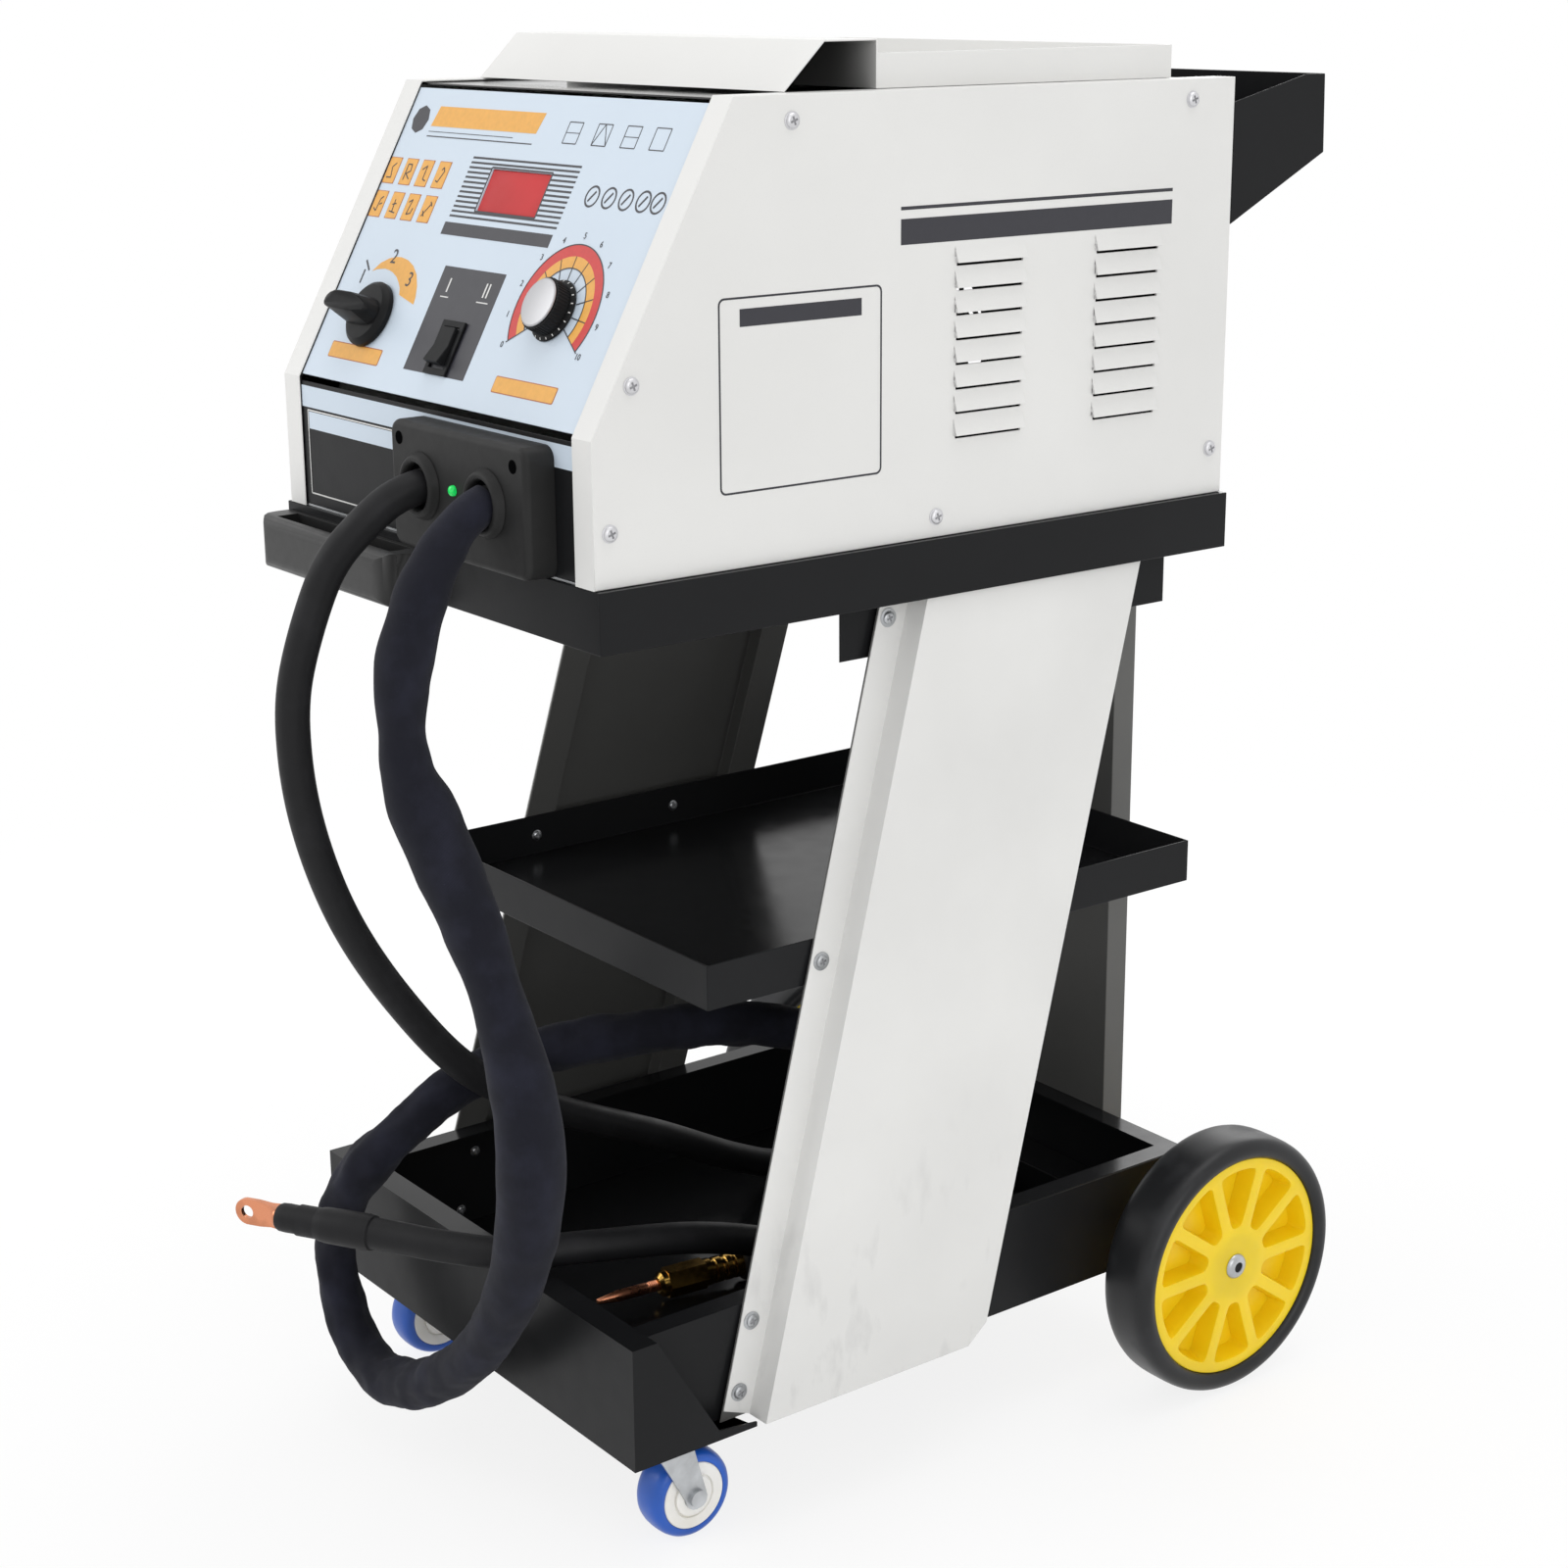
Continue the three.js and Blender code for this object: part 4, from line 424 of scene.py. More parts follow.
def cable_rubber():
    surface = Surface("cable_rubber", tint("rubber"), 0.5, Specular_IOR_Level=0.2)
    surface.shaded("rubber", 1.7, surface.patches(38.0, 5.0, 0.5, 0.8) * 0.45)
    surface.gloss(0.44, 0.2, 75.0, 3.0)
    surface.grain(520.0, 3.0, 0.0001, 0.6)
    return surface


def sleeve_cloth():
    """Close plain weave in the tube's own UV, with lint and rubbed folds."""
    base = tint("sleeve")
    surface = Surface("sleeve_cloth", base, 0.86, Sheen_Weight=0.05, Sheen_Roughness=0.5,
                      Specular_IOR_Level=0.15)
    warp = surface.wave(520.0, surface.uv, wave_type="BANDS", bands_direction="X")
    weft = surface.wave(520.0, surface.uv, wave_type="BANDS", bands_direction="Y")
    crumple = surface.noise(34.0, 5.0)
    lint = surface.patches(900.0, 2.0, 0.72, 0.78)
    faded = surface.mix(base, tint("sleeve", 1.45), surface.ramp(crumple, 0.45, 0.8))
    surface.set("Base Color", surface.mix(faded, tint("sleeve", 2.6), lint * 0.35))
    surface.gloss(0.8, 0.14, 60.0, 2.0)
    surface.relief(warp * weft * 0.12 + crumple, 0.0011, 0.7)
    return surface


def nylon():
    surface = Surface("yellow_nylon", tint("yellow"), 0.36, Subsurface_Weight=0.12,
                      Subsurface_Radius=(0.006, 0.003, 0.0006), Subsurface_Scale=1.0)
    surface.shaded("yellow", 0.965, surface.patches(24.0, 3.0, 0.4, 0.75))
    surface.gloss(0.33, 0.12, 140.0, 2.0)
    surface.grain(900.0, 2.0, 0.00005)
    return surface


def red_lens():
    surface = Surface("red_lens", tint("lens"), 0.42, Specular_IOR_Level=0.2)
    surface.shaded("lens", 0.86, surface.noise(30.0, 2.0))
    surface.gloss(0.38, 0.1, 200.0, 2.0)
    return surface


def green_lamp():
    surface = Surface("green_lamp", tint("lamp"), 0.2, Emission_Strength=0.7)
    glow = surface.mix(tint("lamp"), tint("lamp", 0.7), surface.noise(600.0, 1.0))
    surface.set("Base Color", glow)
    surface.set("Emission Color", glow)
    return surface


FINISHES = {
    "white": partial(powder_coat, "white_powder_coat", "white_paint", 0.42, dust=0.03),
    "leg white": leg_paint,
    "inside hood": hood_shade,
    "black": partial(powder_coat, "black_powder_coat", "black_paint", 0.34, peel=0.00004,
                     dust=0.16, Specular_IOR_Level=0.12),
    "floor": partial(powder_coat, "smooth_black_floor", "black_paint", 0.2, peel=0.00001,
                     dust=0.2, Specular_IOR_Level=0.2),
    "grey": partial(powder_coat, "grey_leg_paint", "grey_paint", 0.46),
    "top": partial(powder_coat, "gloss_black_top", "top_paint", 0.12, peel=0.00001, dust=0.1),
    "foil": partial(powder_coat, "panel_foil", "foil", 0.4, peel=0.00001, dust=0.025),
    "moulding": partial(moulding, "black_moulding", "moulding", 0.52, Specular_IOR_Level=0.2),
    "handle": partial(moulding, "handle_moulding", "handle", 0.42, Specular_IOR_Level=0.4),
    "knob": partial(moulding, "knob_plastic", "knob", 0.42, 0.00004, Specular_IOR_Level=0.12),
    "recess": partial(moulding, "recess_black", "recess", 0.8),
    "well": partial(moulding, "well_black", "pit", 0.9, Specular_IOR_Level=0.0),
    "blue": partial(moulding, "blue_tread", "blue", 0.34, 0.00003),
    "core": partial(moulding, "caster_core", "core", 0.42, 0.00004),
    "board": partial(moulding, "board_green", "lamp", 0.5),
    "rubber": cable_rubber,
    "sleeve": sleeve_cloth,
    "tyre": tyre_rubber,
    "nylon": nylon,
    "lens": red_lens,
    "lamp": green_lamp,
    "zinc": partial(metal, "zinc_plate", "zinc", 0.34),
    "bright zinc": partial(metal, "bright_zinc", "bright", 0.44, stain=0.94),
    "dull zinc": partial(metal, "dull_zinc", "zinc", 0.45, stain=0.6),
    "copper": partial(metal, "copper", "copper", 0.3, stain=0.75),
    "brass": partial(metal, "brass", "brass", 0.2, stain=0.86),
    "laminate": partial(metal, "steel_laminations", "grey_paint", 0.5, (1.0, 26.0, 1.0)),
    "winding": partial(metal, "enamelled_copper", "copper", 0.4, (1.0, 1.0, 30.0)),
    "spun": spun_metal,
    "ink": partial(print_film, "dark_print", "ink"),
    "orange": partial(print_film, "orange_print", "orange"),
    "red": partial(print_film, "red_print", "red"),
    "rust": partial(print_film, "rust_print", "rust"),
    "pale": partial(print_film, "pale_print", "white_paint"),
}


@cache
def finish(name):
    """The material of a finish, made once and shared by its pieces."""
    return FINISHES[name]().material


# Mesh building


def whole_mesh(name, form, material, crease=38):
    """Turns a bmesh into a smooth-shaded object, sharp where it turns by more than crease."""
    mesh = bpy.data.meshes.new(name)
    form.to_mesh(mesh)
    form.free()
    mesh.shade_smooth()
    mesh.set_sharp_from_angle(angle=math.radians(crease))
    mesh.materials.append(material)
    made = bpy.data.objects.new(name, mesh)
    bpy.context.scene.collection.objects.link(made)
    return made


def dressed(made, body, replaces):
    """Puts an object on what it rides on and hides the node it stands for."""
    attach(made, body)
    if replaces:
        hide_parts(replaces)
    return made


def piece(name, form, coat, replaces=None, body=TROLLEY, crease=38, place=None):
    """A visible piece in one of the finishes, put in its place."""
    if place is not None:
        bmesh.ops.transform(form, matrix=place, verts=form.verts)
    return dressed(whole_mesh(name, form, finish(coat), crease), body, replaces)


def even_shading(made):
    """Keeps the flat faces flat beside their small rounded edges."""
    weighted = made.modifiers.new("even_shading", "WEIGHTED_NORMAL")
    weighted.keep_sharp = True
    weighted.weight = 60


def gather(form, part, matrix=None):
    """Adds one bmesh to another, placed by a matrix, and frees it."""
    if matrix is not None:
        bmesh.ops.transform(part, matrix=matrix, verts=part.verts)
        if matrix.to_3x3().determinant() < 0:
            bmesh.ops.reverse_faces(part, faces=part.faces)
    carrier = bpy.data.meshes.new("carrier")
    part.to_mesh(carrier)
    part.free()
    form.from_mesh(carrier)
    bpy.data.meshes.remove(carrier)


def gathered(parts):
    """One bmesh from pairs of a bmesh and its place."""
    form = bmesh.new()
    for part, place in parts:
        gather(form, part, place)
    return form


def bevel(form, edges, offset, segments=2):
    bmesh.ops.bevel(
        form, geom=edges, offset=offset, segments=segments, profile=0.5, affect="EDGES",
        material=-1, clamp_overlap=True,
    )


def block(size, centre=(0, 0, 0), soft=0.0):
    """A box with rounded edges."""
    form = bmesh.new()
    bmesh.ops.create_cube(form, size=1.0)
    bmesh.ops.scale(form, vec=Vector(size), verts=form.verts)
    if soft:
        bevel(form, form.edges[:], soft)
    bmesh.ops.translate(form, vec=Vector(centre), verts=form.verts)
    return form


def turned(profile, steps=None):
    """A closed lathe piece from its [radius, height] profile, turned round Z."""
    form = bmesh.new()
    line = [form.verts.new((r, 0.0, h)) for r, h in profile]
    edges = [form.edges.new(pair) for pair in zip(line, line[1:])]
    if profile[0][0] > 0 or profile[-1][0] > 0:
        edges.append(form.edges.new((line[-1], line[0])))
    bmesh.ops.spin(
        form, geom=line + edges, cent=(0, 0, 0), axis=(0, 0, 1), angle=2 * math.pi,
        steps=steps or sizes().turning_steps, use_merge=True, use_duplicate=False,
    )
    bmesh.ops.remove_doubles(form, verts=form.verts, dist=SAME_POINT)
    bmesh.ops.recalc_face_normals(form, faces=form.faces)
    return form


def mirrored(half):
    """A profile that comes back the same way on the other side of the wheel's middle."""
    return half + [(r, -h) for r, h in reversed(half)]


def raised(form, faces, rise):
    """Extrudes flat faces upwards into a closed solid."""
    made = bmesh.ops.extrude_face_region(form, geom=faces)
    top = [v for v in made["geom"] if isinstance(v, bmesh.types.BMVert)]
    bmesh.ops.translate(form, vec=(0, 0, rise), verts=top)
    bmesh.ops.recalc_face_normals(form, faces=form.faces)


def plate(outline, low, high, soft=0.0, segments=2):
    """An outline in X and Y made into a solid from low to high, its top edges rounded."""
    form = bmesh.new()
    face = form.faces.new([form.verts.new((x, y, low)) for x, y in outline])
    raised(form, [face], high - low)
    if soft:
        rim = [e for e in form.edges if all(v.co.z > high - 1e-6 for v in e.verts)]
        bevel(form, rim, soft, segments)
    return form


def pierced(outline, holes, low, high):
    """A plate from low to high with holes through it."""
    form = bmesh.new()
    edges = []
    for loop in (outline, *holes):
        verts = [form.verts.new((x, y, low)) for x, y in loop]
        edges += [form.edges.new((verts[i - 1], verts[i])) for i in range(len(verts))]
    bmesh.ops.triangle_fill(form, use_beauty=True, use_dissolve=False, edges=edges)
    raised(form, form.faces[:], high - low)
    return form


def polar(radius, angle, x=0.0, y=0.0):
    return (x + radius * math.cos(angle), y + radius * math.sin(angle))


def rectangle(x0, x1, y0, y1, lean=0.0):
    return [(x0, y0), (x1, y0), (x1 + lean, y1), (x0 + lean, y1)]


def rounded_rectangle(x0, x1, y0, y1, radius, steps=5):
    points = []
    for cx, cy, start in (
        (x1 - radius, y0 + radius, -0.5), (x1 - radius, y1 - radius, 0.0),
        (x0 + radius, y1 - radius, 0.5), (x0 + radius, y0 + radius, 1.0),
    ):
        for step in range(steps + 1):
            points.append(polar(radius, math.pi * (start + 0.5 * step / steps), cx, cy))
    return points


def disc_outline(x, y, radius, steps=24):
    turn = 2 * math.pi / steps
    return [polar(radius, turn * i, x, y) for i in range(steps)]


def arc_band(x, y, inner, outer, start, end, steps=72):
    """A band round a centre from start to end in degrees."""
    angles = [math.radians(start + (end - start) * (i / steps)) for i in range(steps + 1)]
    outside = [polar(outer, a, x, y) for a in angles]
    return outside + [polar(inner, a, x, y) for a in reversed(angles)]


def folded(node, coat, radius, shortest=0.006, crease=38):
    """A CAD node of sheet metal or moulding with its long sharp edges rounded."""
    form = bmesh.new()
    form.from_mesh(NODES[node].data)
    bmesh.ops.remove_doubles(form, verts=form.verts, dist=0.00001)
    bmesh.ops.dissolve_limit(
        form, angle_limit=math.radians(0.6), verts=form.verts, edges=form.edges
    )
    sharp = [
        e for e in form.edges
        if len(e.link_faces) == 2 and e.calc_length() > shortest
        and e.calc_face_angle() > math.radians(34)
    ]
    bevel(form, sharp, radius)
    made = piece(node + "_folded", form, coat, node, NODES[node]["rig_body"], crease)
    even_shading(made)
    return made


def second_finish(made, coat, chosen):
    """Gives another finish to the faces that a test on centre and normal picks."""
    made.data.materials.append(finish(coat))
    for face in made.data.polygons:
        if chosen(face.center, face.normal):
            face.material_index = 1


class Screws:
    """Pan-head screws of one size, each on a thin washer, in millimetres, with a cross cut into
    each head and a dark disc under the cross as painted shade.
    """

    def __init__(self, head, rise, washer):
        self.head = head
        self.rise = rise
        self.washer = washer
        self.heads = bmesh.new()
        self.recesses = bmesh.new()

    def add(self, place):
        head, rise, washer = self.head, self.rise, self.washer
        cross, arm = [], head * 0.14
        for c, s in ((1, 0), (0, 1), (-1, 0), (0, -1)):
            for x, y in ((head * 0.56, -arm), (head * 0.56, arm), (arm, arm)):
                cross.append((x * c - y * s, x * s + y * c))
        flat = head * 0.68
        turn = place @ Matrix.Rotation(0.35, 4, "Z")
        gather(self.heads, turned(
            [(flat, 0), (washer, 0), (washer, 0.5), (head, 0.7), (head, rise * 0.5),
             (head * 0.9, rise * 0.82), (flat, rise)], 24,
        ), place)
        gather(self.heads, pierced(disc_outline(0, 0, flat + 0.02), [cross], rise - 1.0, rise),
               turn)
        # painted shade: a dark disc under each cross, seen through it
        gather(self.recesses, plate(disc_outline(0, 0, flat - 0.1, 12), rise - 1.3, rise - 0.55),
               turn)

    def finish(self, name, coat):
        piece(name, self.heads, coat)
        piece(name + "_recesses", self.recesses, "recess")


# Cables


def centripetal(points, step):
    """Points a step apart along a smooth centripetal curve through the given points."""
    line = [points[0] * 2 - points[1], *points, points[-1] * 2 - points[-2]]
    dense = []
    for p0, p1, p2, p3 in zip(line, line[1:], line[2:], line[3:]):
        t0 = math.sqrt((p1 - p0).length)
        t1 = math.sqrt((p2 - p1).length)
        t2 = math.sqrt((p3 - p2).length)
        m1 = ((p1 - p0) / t0 - (p2 - p0) / (t0 + t1) + (p2 - p1) / t1) * t1
        m2 = ((p2 - p1) / t1 - (p3 - p1) / (t1 + t2) + (p3 - p2) / t2) * t1
        for i in range(24):
            t = i / 24
            dense.append(
                p1 * (2 * t**3 - 3 * t**2 + 1) + m1 * (t**3 - 2 * t**2 + t)
                + p2 * (3 * t**2 - 2 * t**3) + m2 * (t**3 - t**2)
            )
    dense.append(points[-1].copy())
    spaced, walked = [dense[0]], 0.0
    for before, after in zip(dense, dense[1:]):
        stride = (after - before).length
        while walked + stride >= step:
            before = before.lerp(after, (step - walked) / stride)
            spaced.append(before)
            stride = (after - before).length
            walked = 0.0
        walked += stride
    if (spaced[-1] - dense[-1]).length > step * 0.3:
        spaced.append(dense[-1])
    else:
        spaced[-1] = dense[-1]
    return spaced


def length_of(route):
    return sum((b - a).length for a, b in zip(route, route[1:]))


def tube(name, route, radius, sides, coat):
    """A closed tube along a route, its UV in metres along it and round it.

    radius(walked, angle) gives the tube's reach.
    """
    form = bmesh.new()
    uv = form.loops.layers.uv.new("along")
    across = (route[1] - route[0]).orthogonal().normalized()
    rings, marks, walked = [], [], 0.0
    for i, place in enumerate(route):
        ahead = (route[min(i + 1, len(route) - 1)] - route[max(i - 1, 0)]).normalized()
        across = (across - ahead * across.dot(ahead)).normalized()
        other = ahead.cross(across)
        if i:
            walked += (place - route[i - 1]).length
        ring = []
        for k in range(sides):
            a = 2 * math.pi * k / sides
            outwards = across * math.cos(a) + other * math.sin(a)
            ring.append(form.verts.new(place + outwards * radius(walked, a)))
        rings.append(ring)
        marks.append(walked)
    girth = 2 * math.pi * radius(walked / 2, 0.0)
    for i, (near, far) in enumerate(zip(rings, rings[1:])):
        for k in range(sides):
            n = (k + 1) % sides
            face = form.faces.new((near[k], near[n], far[n], far[k]))
            corners = ((i, k), (i, k + 1), (i + 1, k + 1), (i + 1, k))
            for loop, (row, turn) in zip(face.loops, corners):
                loop[uv].uv = (marks[row], girth * turn / sides)
    form.faces.new(rings[0][::-1])
    form.faces.new(rings[-1])
    bmesh.ops.recalc_face_normals(form, faces=form.faces)
    return whole_mesh(name, form, finish(coat), 60)


# Each route in the case's millimetres: out of the gland, down, and round as the cable lies
EARTH_ROUTE = [
    (27, -237.3, 730.2), (26, -248.3, 727.6), (23, -261, 721.5), (17.5, -280, 705),
    (10, -293, 688), (3, -302, 667), (-11, -317, 603), (-17, -317, 556), (-22, -307, 498),
    (-29, -280, 426), (-34, -236, 353), (-38, -183, 289), (-45, -113, 240), (-60, -2, 182),
    (-81, 90, 130), (-95, 140, 107), (-97, 180, 101.6), (-72, 231, 101.6), (-28, 258, 101.6),
    (28, 257, 101.6), (74, 228, 101.6), (99, 170, 101.6), (105, 100, 107), (102, 40, 130),
    (97, -31, 160), (94, -86, 177), (81, -160, 187.5), (57, -211, 188), (19, -240, 187.5),
    (-19, -261, 187), (-86, -299, 186),
]
TORCH_ROUTE = [
    (107, -237.3, 730.2), (107.4, -247.8, 726), (107.8, -259, 718.2), (108, -272.5, 703),
    (107.5, -283.5, 685), (106, -292.5, 662), (103.5, -301.5, 622), (101, -299, 566),
    (105, -287, 528), (112, -275, 490), (123, -266, 452), (137, -260, 412), (151, -257, 372),
    (160, -255, 335), (160, -254, 298), (150, -252, 255), (126, -250, 200), (88, -250, 146),
    (38, -250, 101), (-14, -250, 69), (-62, -250, 55), (-97, -250, 64.5), (-122.5, -249.5, 90),
    (-132, -249, 125), (-128, -246, 158), (-115, -240, 187), (-98, -229, 213),
    (-85, -205, 237), (-81, -172, 258), (-72, -132, 272), (-53, -92, 280), (-29, -50, 287),
    (-3, -8, 291), (14, 27, 290), (25, 62, 281.5), (32, 93, 268.5), (36, 122, 255),
    (38.5, 150, 241.8), (40.3, 179.5, 214), (42, 189, 178.5), (43.8, 179.5, 143),
    (45.4, 153.5, 117), (46.6, 119, 107.5), (45.1, 103, 106.8), (42.9, 87, 106.5),
]
# Millimetres along the sleeve, and how wide it puffs out or is drawn in there
SLEEVE_WIDTHS = [
    (0, 26), (22, 26), (48, 31), (80, 35), (115, 36), (135, 35), (163, 29.5), (185, 34), (215, 43),
    (262, 44), (300, 39.5), (340, 35), (375, 38), (415, 43.5), (470, 46), (520, 43), (570, 38),
    (640, 35.5), (720, 34), (800, 35.5), (860, 33.5), (900, 32), (940, 29.5), (980, 34),
    (1020, 36), (1060, 31), (1110, 33), (1200, 34), (1300, 33), (1700, 32),
]
GRIP_LENGTH = 0.076
CORE_RADIUS = 0.0115


def eased(table, place):
    """A smooth value between the entries of a table of places and values."""
    for (x0, y0), (x1, y1) in zip(table, table[1:]):
        if place <= x1:
            share = max(0.0, (place - x0) / (x1 - x0))
            return y0 + (y1 - y0) * share * share * (3 - 2 * share)
    return table[-1][1]


def clamped(value, low=0.0):
    return min(1.0, max(low, value))


def fold_noise(walked, angle, pace, girth, across, along):
    """Noise on a tube's skin, which closes on itself round the tube."""
    spot = (walked * pace, girth * math.cos(angle) + across, girth * math.sin(angle) + along)
    return noise.noise(Vector(spot))


def end_place(route):
    """Millimetres at a cable's end: Z on along the cable, Y up."""
    along = (route[-1] - route[-2]).normalized()
    across = Vector((0, 0, 1)).cross(along).normalized()
    turn = Matrix((across, along.cross(across), along)).transposed()
    return Matrix.Translation(route[-1]) @ turn.to_4x4() @ Matrix.Scale(MM, 4)


def limp_cord(route, pieces):
    length_of(route)


class WELDER_OT_cables(bpy.types.Operator):
    """Earth cable with its boot and lug, torch cable in its sleeve, and the torch"""

    bl_idname = "welder.cables"
    bl_label = "Cables"

    def execute(self, context):
        size = sizes()
        earth = centripetal([at(*p) for p in EARTH_ROUTE], 0.006)
        torch = centripetal([at(*p) for p in TORCH_ROUTE], 0.004)
        place = end_place(torch)
        torch += [place @ Vector((0, 0, 4.0 * i)) for i in range(1, 20)]
        self.earth_cable(earth, size.earth_diameter)
        self.torch_cable(torch, place, size.torch_diameter, size.sleeve_slack)
        return {"FINISHED"}

    def earth_cable(self, route, diameter):
        cable = tube("earth_cable_run", route, lambda walked, a: diameter / 2, 28, "rubber")
        dressed(cable, TROLLEY, "earth_cable")
        place = end_place(route)
        boot = turned(
            [(11.5, -62), (12.6, -61), (13.2, -56), (13.1, -34), (12.9, -24), (12.3, -19),
             (11.2, -15.5), (10.7, -11), (10.8, -4), (10.5, 3), (10.6, 10), (10.3, 15), (9.4, 17),
             (8.6, 17)], 48,
        )
        shrunk = piece("earth_boot", boot, "rubber", place=place)
        limp_cord(route, [shrunk, self.lug(place)])

    def lug(self, place):
        """A pressed copper lug: a round barrel flattened into a tongue with one eye."""
        form = turned([(0, 0.3), (8, 0.3), (8, 19), (7.2, 20.3), (0, 20.3)], 40)
        eye, root = 44.3, 17.0
        neck = [(7.6, root), (8.6, 24.0), (10.0, 34.0)]
        outline = [(-7.6, root), *neck]
        outline += [polar(10.0, math.pi * i / 18, 0.0, eye) for i in range(19)]
        outline += [(-x, y) for x, y in neck[:0:-1]]
        tongue = pierced(outline, [disc_outline(0, eye, 5.0, 28)], -1.7, 1.7)
        stand = Matrix(((0, 0, 1), (1, 0, 0), (0, 1, 0)))
        bmesh.ops.rotate(tongue, cent=(0, 0, 0), matrix=stand, verts=tongue.verts)
        for vert in tongue.verts:
            thick = max(0.0, 1.0 - max(0.0, vert.co.z - root) / 9.0)
            vert.co.x *= 1.0 + 2.2 * thick
        gather(form, tongue)
        return piece("earth_lug_pressed", form, "copper", "earth_lug", place=place)

    def torch_cable(self, route, place, diameter, slack):
        """The sleeve, which runs on inside the grip of the torch."""
        grip_from = length_of(route) - GRIP_LENGTH

        def reach(walked, a):
            if walked > grip_from + 0.0005:
                return CORE_RADIUS
            loose = clamped((walked - 0.012) / 0.05)
            pinch = noise.noise(Vector((walked * 38.0, 7.7, 0.0)))
            fold = fold_noise(walked, a, 46.0, 1.6, 0.0, 4.0)
            pucker = fold_noise(walked, a, 120.0, 2.2, 9.0, 0.0)
            creased = clamped((walked - 0.45) / 0.3, 0.2)
            swell = 0.25 * pinch + creased * (0.55 * fold + 0.2 * pucker)
            return eased(SLEEVE_WIDTHS, walked / MM) * MM / 2 + loose * slack * swell

        cable = tube("torch_sleeve", route, reach, 40, "sleeve")
        dressed(cable, TROLLEY, "torch_cable")
        limp_cord(route,
                  [self.grip(place), self.nut(place), self.tip(place)])

    def grip(self, place):
        profile = [(0, 0.3), (12.6, 0.3), (13.6, 1.4), (14, 4)]
        for i in range(9):
            h = 10 + i * 7
            profile += [(14, h), (13.2, h + 1.0), (13.2, h + 2.6), (14, h + 3.6)]
        profile += [(14, 77), (13.2, 79.4), (11.5, 80.3), (0, 80.3)]
        return piece("torch_grip_ribbed", turned(profile, 56), "moulding",
                     "torch_grip", place=place)

    def nut(self, place):
        form = turned(
            [(0, 80.6), (10, 80.6), (10, 86.5), (8.6, 87.4), (8.6, 89.0), (10, 90), (10, 94),
             (8.6, 95), (8.6, 97), (10, 98), (10, 103), (8.6, 104), (8.6, 106), (10.4, 107),
             (10.4, 112), (0, 112)], 56,
        )
        gather(form, plate(disc_outline(0, 0, 12.0, 6), 112.0, 144.0))
        gather(form, turned([(0, 144), (10.2, 144), (9.4, 148), (6.2, 150.6), (0, 150.6)], 56))
        return piece("torch_nut_turned", form, "brass", "torch_nut", place=place)

    def tip(self, place):
        profile = [(0, 150.9), (4.2, 150.9)]
        for i in range(5):
            h = 152.0 + i * 1.6
            profile += [(4.5, h), (3.9, h + 0.8)]
        profile += [(4.4, 161), (4.4, 184), (4.1, 186), (2.0, 200.4), (1.6, 200.9), (0, 200.9)]
        return piece("torch_tip_turned", turned(profile, 40), "copper", "torch_tip",
                     place=place)


class WELDER_OT_sheet_metal(bpy.types.Operator):
    """Folded and painted sheet: case, trays, shelf, legs, rails and bin"""

    bl_idname = "welder.sheet_metal"
    bl_label = "Sheet metal"

    def execute(self, context):
        radius = sizes().fold
        for side, _sign in SIDES:
            folded("side_panel_" + side, "white", radius, 0.07)
            folded("leg_cover_" + side, "leg white", radius)
            folded("leg_frame_" + side, "grey", radius * 0.7)
            folded("rail_" + side, "black", radius * 0.7)
        tray = folded("tool_tray", "white", radius * 0.6)
        wall = at(0, 17.3, 0).y
        # the faces inside the tool tray's hood get the painted shade
        second_finish(
            tray, "inside hood",
            lambda place, normal: place.y < wall and (abs(normal.y + 0.3) > 0.6
                                                      or normal.z < -0.3),
        )
        for node in ("machine_tray", "lower_tray", "middle_shelf", "rear_bin", "axle_cover"):
            made = folded(node, "black", radius * 0.7, 0.012)
            second_finish(made, "floor", lambda place, normal: normal.z > 0.98)
        folded("rear_panel", "grey", radius * 0.7)
        folded("top_cover", "top", radius * 0.4)
        return {"FINISHED"}


